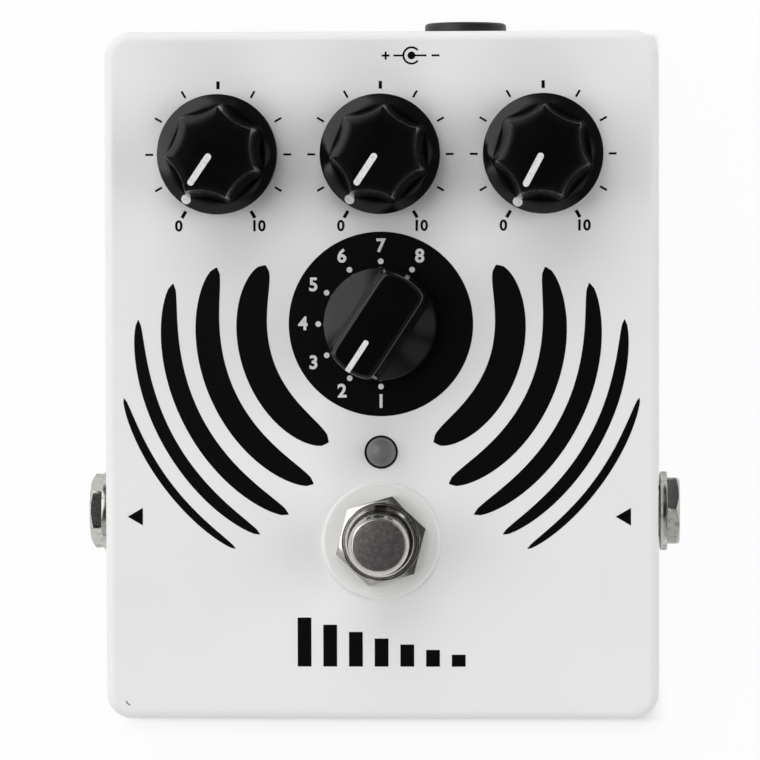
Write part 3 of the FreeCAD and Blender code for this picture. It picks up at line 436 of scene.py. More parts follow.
@dataclass(frozen=True)
class MouldedPlastic(Finish):
    """Injection-moulded plastic with faint flow marks, handling scratches and dust."""

    colour: Colour = (0.0022, 0.0022, 0.0024)
    worn: Colour = (0.007, 0.007, 0.007)
    roughness: float = 0.11
    grain_mm: float = 1.6
    grain_depth: float = 0.0005
    dust: float = 0.3

    def write(self, shader: Shader) -> bpy.types.Material:
        """Writes the plastic.

        Args:
            shader: The new material's empty shader.

        Returns:
            The finished material.
        """
        flow = shader.noise(5.0, 2.0)
        grain = shader.noise(self.grain_mm, 3.0, 0.6)
        stretched = shader.place() * (1.0, 0.06, 0.3)
        scratches = shader.noise(0.16, 1.0, at=stretched).stepped(0.70, 0.76)
        dust = shader.cells(2.3).stepped(0.04, 0.02) * self.dust
        return shader.surface(
            Base_Color=shader.mixed(flow * 0.35 + dust, self.colour, self.worn),
            Roughness=self.roughness + flow * 0.07 + scratches * 0.12 + dust * 0.4,
            Normal=shader.bumped(grain - scratches * 0.1, self.grain_depth),
        )


@dataclass(frozen=True)
class LinePaint(Finish):
    """Opaque paint wiped into a pointer's groove."""

    colour: Colour = (0.78, 0.78, 0.77)
    thin: Colour = (0.52, 0.53, 0.53)

    def write(self, shader: Shader) -> bpy.types.Material:
        """Writes the paint.

        Args:
            shader: The new material's empty shader.

        Returns:
            The finished material.
        """
        pooled = shader.noise(0.45, 3.0)
        return shader.surface(
            Base_Color=shader.mixed(pooled.stepped(0.45, 0.8), self.colour, self.thin),
            Roughness=0.38 + pooled * 0.2,
            Normal=shader.bumped(pooled, 0.01),
        )


@dataclass(frozen=True)
class PlatedMetal(Finish):
    """Plated and tumbled metal with a fine unevenness, pits and a tarnish in patches."""

    colour: Colour = (0.76, 0.74, 0.71)
    tarnish: Colour = (0.50, 0.47, 0.43)
    roughness: float = 0.13
    tumble_mm: float = 0.22
    tumble_depth: float = 0.004
    smudge_mm: float = 2.2

    def write(self, shader: Shader) -> bpy.types.Material:
        """Writes the metal.

        Args:
            shader: The new material's empty shader.

        Returns:
            The finished material.
        """
        tumbled = shader.noise(self.tumble_mm, 3.0, 0.65)
        smudged = shader.noise(self.smudge_mm, 4.0)
        pits = shader.cells(0.55).stepped(0.10, 0.04)
        stained = smudged.stepped(0.45, 0.8) * 0.7 + pits * 0.4
        return shader.surface(
            Base_Color=shader.mixed(stained, self.colour, self.tarnish),
            Metallic=1.0,
            Roughness=self.roughness + smudged * 0.10 + pits * 0.2,
            Normal=shader.bumped(tumbled - pits * 0.6, self.tumble_depth),
        )


@dataclass(frozen=True)
class TurnedMetal(Finish):
    """A face left by the lathe: fine rings about an axis, dulled by shoes."""

    colour: Colour = (0.345, 0.32, 0.32)
    scuffed: Colour = (0.50, 0.47, 0.46)
    centre: Pair = (0.0, -27.5)
    pitch_mm: float = 0.11
    roughness: float = 0.30

    def write(self, shader: Shader) -> bpy.types.Material:
        """Writes the metal.

        Args:
            shader: The new material's empty shader.

        Returns:
            The finished material.
        """
        off_axis = shader.place() - (self.centre[0] * MM, self.centre[1] * MM, 0.0)
        flat = off_axis * (1.0, 1.0, 0.0)
        radius = shader.node("ShaderNodeVectorMath", {"operation": "LENGTH"}, {0: flat}, "Value")
        turns = radius * (math.tau / (self.pitch_mm * MM))
        rings = shader.node("ShaderNodeMath", {"operation": "SINE"}, {0: turns})
        scuffs = shader.noise(0.6, 4.0, 0.65)
        return shader.surface(
            Base_Color=shader.mixed(scuffs.stepped(0.36, 0.68), self.colour, self.scuffed),
            Metallic=1.0,
            Roughness=self.roughness + scuffs * 0.12,
            Normal=shader.bumped(rings * 0.25 + scuffs, 0.0025),
        )


@dataclass(frozen=True)
class ClearLens(Finish):
    """The lamp's tinted epoxy: grey through and glossy outside, with painted shade darkening it towards its
    rim.
    """

    colour: Colour = (0.150, 0.158, 0.165)
    # the colour of the painted shade at the lens's rim
    rim: Colour = (0.055, 0.060, 0.065)

    def write(self, shader: Shader) -> bpy.types.Material:
        """Writes the lens.

        Args:
            shader: The new material's empty shader.

        Returns:
            The finished material.
        """
        # Painted shade: the colour darkens where the dome turns away from the view.
        painted_rim_shade = shader.node("ShaderNodeLayerWeight", {}, {"Blend": 0.35}, "Facing")
        cloud = shader.noise(1.6, 2.0)
        return shader.surface(
            Base_Color=shader.mixed(painted_rim_shade.power(2.0) * 0.8 + cloud * 0.2, self.colour, self.rim),
            Roughness=0.22 + cloud * 0.08,
            Coat_Weight=0.8,
            Coat_Roughness=0.06,
            Normal=shader.bumped(cloud, 0.01),
        )


@dataclass(frozen=True)
class SolderMask(Finish):
    """A circuit board's lacquer over its copper tracks."""

    colour: Colour = (0.008, 0.085, 0.030)
    over_copper: Colour = (0.020, 0.150, 0.055)
    pitch_across: float = 1.1
    pitch_along: float = 1.6

    def write(self, shader: Shader) -> bpy.types.Material:
        """Writes the board.

        Args:
            shader: The new material's empty shader.

        Returns:
            The finished material.
        """
        across = shader.axis("X").folded(self.pitch_across * MM).stepped_mm(0.75, 0.8)
        along = shader.axis("Y").folded(self.pitch_along * MM).stepped_mm(1.2, 1.25)
        patches = shader.noise(9.0, 0.0).stepped(0.48, 0.52)
        copper = across * patches + along * (1.0 - patches)
        return shader.surface(
            Base_Color=shader.mixed(copper, self.colour, self.over_copper),
            Roughness=0.28 + shader.noise(0.8) * 0.12,
            Normal=shader.bumped(copper, 0.03),
        )


@dataclass(frozen=True)
class SoftRubber(Finish):
    """Moulded rubber, matt and slightly bloomed."""

    colour: Colour = (0.012, 0.012, 0.012)
    bloom: Colour = (0.06, 0.06, 0.058)

    def write(self, shader: Shader) -> bpy.types.Material:
        """Writes the rubber.

        Args:
            shader: The new material's empty shader.

        Returns:
            The finished material.
        """
        grain = shader.noise(0.18, 3.0, 0.7)
        bloom = shader.noise(3.0, 4.0).stepped(0.45, 0.8)
        return shader.surface(
            Base_Color=shader.mixed(bloom * 0.5 + grain * 0.15, self.colour, self.bloom),
            Roughness=0.72 + grain * 0.15,
            Normal=shader.bumped(grain, 0.02),
        )


WHITE_PAINT = PowderCoat("white_powder_coat")
BLACK_INK = PrintInk("black_print")
WHITE_INK = PrintInk("white_print", (0.79, 0.79, 0.79), (0.66, 0.66, 0.65))
KNOB_PLASTIC = MouldedPlastic("knob_plastic")
SOCKET_PLASTIC = MouldedPlastic("socket_plastic", (0.012, 0.012, 0.012), (0.03, 0.03, 0.03), 0.34, 0.2, 0.01)
BROWN_MOULDING = MouldedPlastic("brown_moulding", (0.10, 0.045, 0.018), (0.14, 0.07, 0.03), 0.4, 0.3, 0.01)
BLUE_MOULDING = MouldedPlastic("blue_moulding", (0.015, 0.06, 0.24), (0.03, 0.09, 0.30), 0.36, 0.3, 0.01)
CHIP_EPOXY = MouldedPlastic("chip_epoxy", (0.014, 0.014, 0.015), (0.03, 0.03, 0.03), 0.5, 0.12, 0.01)
RIBBON_SKIN = MouldedPlastic("ribbon_skin", (0.30, 0.30, 0.31), (0.40, 0.40, 0.40), 0.42, 0.3, 0.01)
NYLON = MouldedPlastic("nylon", (0.86, 0.862, 0.86), (0.80, 0.80, 0.785), 0.42, 0.3, 0.006, 0.1)
NICKEL = PlatedMetal("bright_nickel")
STAINED_NICKEL = PlatedMetal("stained_nickel", (0.72, 0.70, 0.66), (0.27, 0.25, 0.20), 0.14, 0.2, 0.005, 0.9)
ZINC = PlatedMetal("zinc_steel", (0.60, 0.60, 0.60), (0.40, 0.39, 0.38), 0.26, 0.3, 0.008)
BLACKENED = PlatedMetal("blackened_steel", (0.13, 0.13, 0.14), (0.07, 0.07, 0.072), 0.3, 0.3, 0.008)
TIN = PlatedMetal("tinned_brass", (0.66, 0.65, 0.62), (0.45, 0.43, 0.38), 0.3, 0.2, 0.008)
WORN_TOP = TurnedMetal("worn_button_top")
RUBBER = SoftRubber("foot_rubber")
LENS = ClearLens("lamp_lens")
BOARD = SolderMask("solder_mask")
POINTER_PAINT = LinePaint("pointer_paint")


# Shaping


@dataclass(frozen=True)
class Ring:
    """One ring of a raised piece; its radius and height are numbers or depend on the angle in radians."""

    radius: Radial
    height: Radial

    def point(self, angle: float) -> Vector:
        """Where the ring is at an angle."""
        r, z = (v(angle) if callable(v) else v for v in (self.radius, self.height))
        return Vector((r * math.cos(angle), r * math.sin(angle), z))


class Blank:
    """A piece being shaped with bmesh operators."""

    def __init__(self) -> None:
        """Starts with no material at all."""
        self.mesh = bmesh.new()

    @classmethod
    def lathed(cls, profile: Profile, steps: int = 96, closed: bool = False) -> "Blank":
        """Spins a profile about Z.

        Args:
            profile: Points of (radius, height).
            steps: How many steps one turn has.
            closed: Whether the profile's ends are joined, as a ring's are.

        Returns:
            The round piece.
        """
        blank = cls()
        verts = [blank.mesh.verts.new((r, 0.0, z)) for r, z in profile]
        pairs = list(zip(verts, verts[1:])) + ([(verts[-1], verts[0])] if closed else [])
        edges = [blank.mesh.edges.new(pair) for pair in pairs]
        bmesh.ops.spin(
            blank.mesh, geom=verts + edges, cent=(0, 0, 0), axis=(0, 0, 1), angle=math.tau, steps=steps,
            use_merge=True,
        )
        return blank.healed()

    @classmethod
    def raised(cls, rings: Sequence[Ring], steps: int, tube: bool = False) -> "Blank":
        """Extrudes a circle upwards ring by ring.

        Args:
            rings: The rings, from the first to the last.
            steps: How many points each ring has.
            tube: Whether the last ring meets the first; otherwise both ends are closed with a face.

        Returns:
            The closed piece.
        """
        blank = cls()
        verts = bmesh.ops.create_circle(blank.mesh, cap_ends=False, segments=steps, radius=1.0)["verts"]
        angles = {v: math.tau * i / steps for i, v in enumerate(verts)}
        edges = blank.mesh.edges[:]
        ends = [] if tube else list(edges)
        for v, angle in angles.items():
            v.co = rings[0].point(angle)
        for ring in rings[1:]:
            lower = {cls._rounded(v): angle for v, angle in angles.items()}
            geom = bmesh.ops.extrude_edge_only(blank.mesh, edges=edges)["geom"]
            angles = {v: lower[cls._rounded(v)] for v in geom if isinstance(v, bmesh.types.BMVert)}
            edges = [e for e in geom if isinstance(e, bmesh.types.BMEdge) and e.is_boundary]
            for v, angle in angles.items():
                v.co = ring.point(angle)
        for loop in [] if tube else [ends, edges]:
            bmesh.ops.edgeloop_fill(blank.mesh, edges=loop)
        return blank.healed()

    @staticmethod
    def _rounded(v: bmesh.types.BMVert) -> tuple[float, ...]:
        """Where a vertex is, rounded so that another one there is known by it."""
        return tuple(round(c, 5) for c in v.co)

    @classmethod
    def box(cls, size: Place, middle: Place = (0, 0, 0)) -> "Blank":
        """A block.

        Args:
            size: Its three sides.
            middle: The point that it is about.

        Returns:
            The block.
        """
        blank = cls()
        place = Matrix.Translation(middle) @ Matrix.Diagonal((*size, 1.0))
        bmesh.ops.create_cube(blank.mesh, size=1.0, matrix=place)
        return blank

    @classmethod
    def threaded(cls, crest_d: float, depth: float, pitch: float, length: float, steps: int = 64) -> "Blank":
        """A rod with a real screw thread.

        Args:
            crest_d: Diameter over the thread.
            depth: How deep the thread is cut.
            pitch: From one turn to the next.
            length: Length of the rod from the origin up.
            steps: How many steps one turn has.

        Returns:
            The rod, cut off flat at both ends.
        """
        blank = cls()
        crest, root = crest_d / 2, crest_d / 2 - depth
        # Heights are shares of the pitch.
        tooth = [(root, 0.0), (root, 0.12), (crest, 0.44), (crest, 0.56), (root, 0.88), (root, 1.0)]
        verts = [blank.mesh.verts.new((r, 0.0, (z - 1.0) * pitch)) for r, z in tooth]
        edges = [blank.mesh.edges.new(pair) for pair in zip(verts, verts[1:])]
        turns = math.ceil(length / pitch) + 2
        bmesh.ops.spin(
            blank.mesh, geom=verts + edges, cent=(0, 0, 0), axis=(0, 0, 1), angle=math.tau * turns,
            steps=steps * turns, dvec=(0, 0, pitch / steps),
        )
        bmesh.ops.remove_doubles(blank.mesh, verts=blank.mesh.verts[:], dist=WELD)
        return blank.trimmed((0, 0, 0), (0, 0, -1)).trimmed((0, 0, length), (0, 0, 1)).healed()

    @classmethod
    def lettered(cls, text: str, height: float, thickness: float, boldness: float = 0.03) -> "Blank":
        """Figures cut from a sheet, centred on the origin.

        Args:
            text: The figures.
            height: Their size, as the font measures it.
            thickness: Of the sheet.
            boldness: How much their strokes gain, as a share of the height.

        Returns:
            The figures as one piece.
        """
        curve = bpy.data.curves.new("figures", "FONT")
        curve.body = text
        curve.size = height
        curve.align_x = "CENTER"
        curve.align_y = "CENTER"
        curve.offset = boldness * height
        curve.extrude = thickness / 2
        curve.resolution_u = 4
        written = bpy.data.objects.new("figures", curve)
        mesh = bpy.data.meshes.new_from_object(written)
        blank = cls()
        blank.mesh.from_mesh(mesh)
        bpy.data.objects.remove(written)
        bpy.data.curves.remove(curve)
        bpy.data.meshes.remove(mesh)
        return blank.moved(0, 0, thickness / 2).healed()

    @classmethod
    def copied(cls, node: str) -> "Blank":
        """A merged copy of a CAD node's mesh, in its place.

        Args:
            node: The CAD node.

        Returns:
            The copy.
        """
        blank = cls()
        blank.mesh.from_mesh(bpy.data.objects[node].data)
        bmesh.ops.scale(blank.mesh, vec=(1 / MM,) * 3, verts=blank.mesh.verts[:])
        bmesh.ops.remove_doubles(blank.mesh, verts=blank.mesh.verts[:], dist=COPY_WELD)
        return blank

    @classmethod
    def gathered(cls, blanks: Iterable["Blank"]) -> "Blank":
        """Several pieces as separate shells of one."""
        return cls().joined(*blanks)

    @property
    def everything(self) -> list[object]:
        """Its vertices, edges and faces."""
        return self.mesh.verts[:] + self.mesh.edges[:] + self.mesh.faces[:]

    def healed(self) -> "Blank":
        """Merges what meets and turns every face outwards.

        Returns:
            The piece itself.
        """
        bmesh.ops.remove_doubles(self.mesh, verts=self.mesh.verts[:], dist=WELD)
        bmesh.ops.recalc_face_normals(self.mesh, faces=self.mesh.faces[:])
        return self

    def duplicate(self) -> "Blank":
        """Copies the piece.

        Returns:
            Another blank of the same shape.
        """
        other = Blank()
        other.mesh = self.mesh.copy()
        return other

    def transformed(self, matrix: Matrix) -> "Blank":
        """Applies a matrix in millimetres."""
        bmesh.ops.transform(self.mesh, matrix=matrix, verts=self.mesh.verts[:])
        return self

    def moved(self, x: float, y: float, z: float) -> "Blank":
        """Shifts the piece."""
        return self.transformed(Matrix.Translation((x, y, z)))

    def turned(self, degrees: float, axis: str = "Z") -> "Blank":
        """Turns the piece about an axis through the origin."""
        return self.transformed(Matrix.Rotation(math.radians(degrees), 4, axis))

    def joined(self, *others: "Blank") -> "Blank":
        """Takes other pieces into this one, as separate shells.

        Args:
            *others: The other pieces.

        Returns:
            The piece itself.
        """
        for other in others:
            mesh = bpy.data.meshes.new("joined")
            other.mesh.to_mesh(mesh)
            self.mesh.from_mesh(mesh)
            bpy.data.meshes.remove(mesh)
        return self

    def sliced(self, point: Place, normal: Place, sawn_off: bool = True) -> list[bmesh.types.BMEdge]:
        """Cuts the piece along a plane.

        Args:
            point: A point of the plane.
            normal: The plane's normal, towards what comes off.
            sawn_off: Whether what lies beyond the plane goes.

        Returns:
            The edges along the cut.
        """
        cut = bmesh.ops.bisect_plane(
            self.mesh, geom=self.everything, dist=CUT_REACH, plane_co=point, plane_no=normal,
            clear_outer=sawn_off,
        )["geom_cut"]
        return [e for e in cut if isinstance(e, bmesh.types.BMEdge) and e.is_valid]

    def trimmed(self, point: Place, normal: Place) -> "Blank":
        """Saws off what lies beyond a plane and closes the cut.

        Args:
            point: A point of the plane.
            normal: The plane's normal, towards what comes off.

        Returns:
            The piece itself.
        """
        rim = self.sliced(point, normal)
        if rim:
            bmesh.ops.holes_fill(self.mesh, edges=rim, sides=0)
        return self

    def softened(
        self,
        width: float,
        segments: int = 2,
        sharper_than: float = SHARP_DEG,
        where: Callable[[Vector], bool] = lambda middle: True,
    ) -> "Blank":
        """Rounds the sharp edges.

        Args:
            width: How far the rounding reaches from an edge.
            segments: How many faces it has.
            sharper_than: The least angle in degrees between an edge's faces.
            where: Picks edges by their middle.

        Returns:
            The piece itself.
        """
        limit = math.radians(sharper_than)
        creases = [e for e in self.mesh.edges if len(e.link_faces) == 2 and e.calc_face_angle(0.0) > limit]
        edges = [e for e in creases if where((e.verts[0].co + e.verts[1].co) / 2)]
        bmesh.ops.bevel(
            self.mesh, geom=edges, offset=width, offset_type="OFFSET", segments=segments, profile=0.5,
            affect="EDGES", material=-1, clamp_overlap=True,
        )
        return self

    def cut_by(self, *cutters: "Blank") -> "Blank":
        """Takes other pieces away from this one.

        Args:
            *cutters: Closed pieces; they are used up.

        Returns:
            The piece itself.
        """
        block = self.as_object("block")
        for cutter in cutters:
            modifier = block.modifiers.new("cut", "BOOLEAN")
            modifier.object = cutter.as_object("cutter")
            modifier.operation = "DIFFERENCE"
            modifier.solver = "EXACT"
        bpy.context.view_layer.update()
        result = bpy.data.meshes.new_from_object(block.evaluated_get(bpy.context.evaluated_depsgraph_get()))
        self.mesh.clear()
        self.mesh.from_mesh(result)
        tools = [m.object for m in block.modifiers]
        for used in [block] + tools:
            bpy.data.meshes.remove(used.data)
        bpy.data.meshes.remove(result)
        return self.healed()

    def as_object(self, name: str) -> bpy.types.Object:
        """Puts the blank's mesh in the scene.

        Args:
            name: What the object and its mesh are called.

        Returns:
            The new object.
        """
        mesh = bpy.data.meshes.new(name)
        self.mesh.to_mesh(mesh)
        made = bpy.data.objects.new(name, mesh)
        bpy.context.scene.collection.objects.link(made)
        return made

    def painted(self, index: int, where: Callable[[bmesh.types.BMFace], bool]) -> "Blank":
        """Gives some faces another of the piece's finishes.

        Args:
            index: Which of the finishes.
            where: Picks the faces.

        Returns:
            The piece itself.
        """
        for face in self.mesh.faces:
            if where(face):
                face.material_index = index
        return self

    def piece(
        self,
        name: str,
        finishes: Finish | Sequence[Finish],
        body: Body,
        slot: str,
        stands_for: Iterable[str] = (),
    ) -> bpy.types.Object:
        """Makes the finished object and hands it to the frame.

        Args:
            name: What the piece is called.
            finishes: Its finish, or several for painted() to choose from.
            body: The body that it moves with.
            slot: The name of a finish slot; not used.
            stands_for: The CAD nodes that it replaces.

        Returns:
            The object, at the origin with its place in its mesh.
        """
        limit = math.radians(SHARP_DEG)
        bmesh.ops.scale(self.mesh, vec=(MM,) * 3, verts=self.mesh.verts[:])
        for face in self.mesh.faces:
            face.smooth = True
        for edge in self.mesh.edges:
            edge.smooth = len(edge.link_faces) == 2 and edge.calc_face_angle(0.0) < limit
        made = self.as_object(name)
        self.mesh.free()
        for finish in [finishes] if isinstance(finishes, Finish) else finishes:
            made.data.materials.append(finish.material())
        shading = made.modifiers.new("even_shading", "WEIGHTED_NORMAL")
        shading.keep_sharp = True
        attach(made, body.value)
        if stands_for:
            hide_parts(*stands_for)
        log.info("%s: %d faces on %s", name, len(made.data.polygons), body.value)
        return made


def middle_of(node: str) -> Place:
    """The middle of a CAD node's box, in millimetres."""
    return tuple((low + high) / 2 / MM for low, high in zip(*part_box(node)))


def foot_of(node: str) -> float:
    """A CAD node's lowest level, in millimetres."""
    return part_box(node)[0].z / MM


def top_of(node: str) -> float:
    """A CAD node's highest level, in millimetres."""
    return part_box(node)[1].z / MM


def polar(radius: float, degrees: float) -> Pair:
    """A point of the face, x and y, by its distance and its direction from the origin."""
    angle = math.radians(degrees)
    return radius * math.cos(angle), radius * math.sin(angle)


def dome(radius: float, top: float, steps: int) -> list[Pair]:
    """The profile of a half ball.

    Args:
        radius: Of the ball.
        top: The height of its pole.
        steps: How many straight stretches the quarter round has.

    Returns:
        Points of (radius, height) from the widest ring up to the pole.
    """
    angles = [math.pi / 2 * i / steps for i in range(steps)]
    return [(radius * math.cos(a), top - radius + radius * math.sin(a)) for a in angles] + [(0.0, top)]


def end_turner(outer: float, top: float, inwards: float, down: float, spare: float) -> Blank:
    """A conical ring that turns the end of a threaded rod off at a slant.

    Args:
        outer: The rod's radius.
        top: The height of its end.
        inwards: How far from the rod's side the slant starts at the end.
        down: How far below the end it is 1 mm outside the rod.
        spare: How far the ring reaches past the end.

    Returns:
        The ring, to be taken away from the rod.
    """
    profile = [(outer - inwards, top + spare), (outer + 1, top - down), (outer + 1, top + spare)]
    return Blank.lathed(profile, 64, closed=True)


def outwards(side: Side, blank: Blank, at: Place) -> Blank:
    """Lays a piece modelled along +Z along the outward normal of a long side, with its +Y side up.

    Args:
        side: Which long side.
        blank: The piece.
        at: Where its origin goes.

    Returns:
        The piece itself.
    """
    s = side.value
    columns = Matrix(((0, 0, s), (s, 0, 0), (0, 1, 0))).to_4x4()
    return blank.transformed(Matrix.Translation(at) @ columns)


@dataclass
class HexNut:
    """A nut turned off at a slant outside, with a broken edge inside."""

    across_flats: float
    bore_d: float
    height: float
    rim_share: float = 0.97     # of the distance to a flat, for the turned face
    slant_deg: float = 30.0
    lead_in: float = 0.28
    edge: float = 0.05
    steps: int = 96

    @property
    def rim(self) -> float:
        """Radius of the turned face."""
        return self.across_flats / 2 * self.rim_share

    def flats(self, angle: float) -> float:
        """The hexagon's radius by angle, with one corner towards +X."""
        sixth = math.tau / 6
        return self.across_flats / 2 / math.cos((angle % sixth) - sixth / 2)

    def shoulder(self, angle: float) -> float:
        """The height at which the slant meets the hexagon."""
        return self.height - (self.flats(angle) - self.rim) * math.tan(math.radians(self.slant_deg))

    def blank(self, corner_deg: float) -> Blank:
        """Shapes the nut along +Z.

        Args:
            corner_deg: Direction of one corner.

        Returns:
            The nut with softly broken edges.
        """
        bore = self.bore_d / 2
        rings = [
            Ring(bore, 0.0),
            Ring(self.flats, 0.0),
            Ring(self.flats, self.shoulder),
            Ring(self.rim, self.height),
            Ring(bore + self.lead_in, self.height),
            Ring(bore, self.height - self.lead_in),
            Ring(bore, 0.0),
        ]
        return Blank.raised(rings, self.steps, tube=True).softened(self.edge, 2).turned(corner_deg)


# Case


@dataclass
class Case:
    """The painted casting and its cover, with screws and feet underneath."""

    seam_edge: float = 0.2
    seam_reach: float = 1.5     # how far the corners' rounding takes the outer edge inwards
    head_d: float = 5.8
    head_edge: Pair = (0.1, 0.12)
    shank_d: float = 3.0
    screw_l: float = 11.0
    tip_r: float = 0.5
    tip_l: float = 1.0
    recess_w: float = 0.72
    recess_span: float = 3.3
    recess_depth: float = 1.5
    recess_round: float = 0.2
    first_turn: float = 17.0    # of a screw's cross, in degrees
    next_turn: float = 31.0
    foot_d: float = 10.0
    foot_edge: float = 0.7
    foot_round: float = 0.22
    dish_d: float = 5.4
    dish_slope: float = 0.5
    dish_depth: float = 0.35

    def build(self) -> None:
        """Makes every piece of the case."""
        for node in ("enclosure", "bottom_cover"):
            painted = Blank.copied(node).softened(self.seam_edge, 2, where=self.on_seam)
            painted.piece(node + "_painted", WHITE_PAINT, Body.HOUSING, "case_white", [node])
        self.screws().piece("cross_head_screws", BLACKENED, Body.HOUSING, "screw_steel", ["cover_screws"])
        self.feet().piece("moulded_feet", RUBBER, Body.HOUSING, "foot_rubber", ["rubber_feet"])

    def on_seam(self, point: Vector) -> bool:
        """Whether a point lies on the outer edge where the casting meets its lid.

        Args:
            point: The middle of an edge.

        Returns:
            True on that edge.
        """
        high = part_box("bottom_cover")[1] / MM
        past = min(high.x - abs(point.x), high.y - abs(point.y))
        return abs(point.z - foot_of("enclosure")) < NEAR and past < self.seam_reach

    def spread(self, node: str, radius: float) -> list[Pair]:
        """The middles of four round things whose CAD node spans them all.

        Args:
            node: The CAD node.
            radius: Of one of them.

        Returns:
            Their places on the underside, x and y.
        """
        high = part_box(node)[1]
        x, y = high.x / MM - radius, high.y / MM - radius
        return [(sx * x, sy * y) for sx in (-1, 1) for sy in (-1, 1)]

    def screws(self) -> Blank:
        """The four countersunk screws with their cross recesses.

        Returns:
            The screws as one piece.
        """
        head, shank, length = self.head_d / 2, self.shank_d / 2, self.screw_l
        inwards, up = self.head_edge
        profile = [
            (0, 0), (head - inwards, 0), (head, up), (shank, head - shank + up), (shank, length - self.tip_l),
            (self.tip_r, length), (0, length),
        ]
        screw = Blank.lathed(profile, 48)
        end = self.recess_span / 2 - NEAR
        arm = Blank.box((self.recess_span, self.recess_w, 2 * self.recess_depth))
        arm.softened(self.recess_round, 3, where=lambda m: abs(m.x) > end)
        screw.cut_by(arm, arm.duplicate().turned(90))
        level = foot_of("cover_screws")
        placed = []
        for i, (x, y) in enumerate(self.spread("cover_screws", head)):
            placed.append(screw.duplicate().turned(self.first_turn + self.next_turn * i).moved(x, y, level))
        return Blank.gathered(placed)

    def feet(self) -> Blank:
        """The four bumpers, each with a shallow dish underneath.

        Returns:
            The feet as one piece.
        """
        level = foot_of("rubber_feet")
        height = top_of("rubber_feet") - level
        outer, dish = self.foot_d / 2, self.dish_d / 2
        profile = [
            (0, self.dish_depth), (dish - self.dish_slope, self.dish_depth), (dish, 0),
            (outer - self.foot_edge, 0), (outer, self.foot_edge), (outer, height), (0, height),
        ]
        foot = Blank.lathed(profile, 64).softened(self.foot_round, 3, 20)
        places = self.spread("rubber_feet", outer)
        return Blank.gathered(foot.duplicate().moved(x, y, level) for x, y in places)


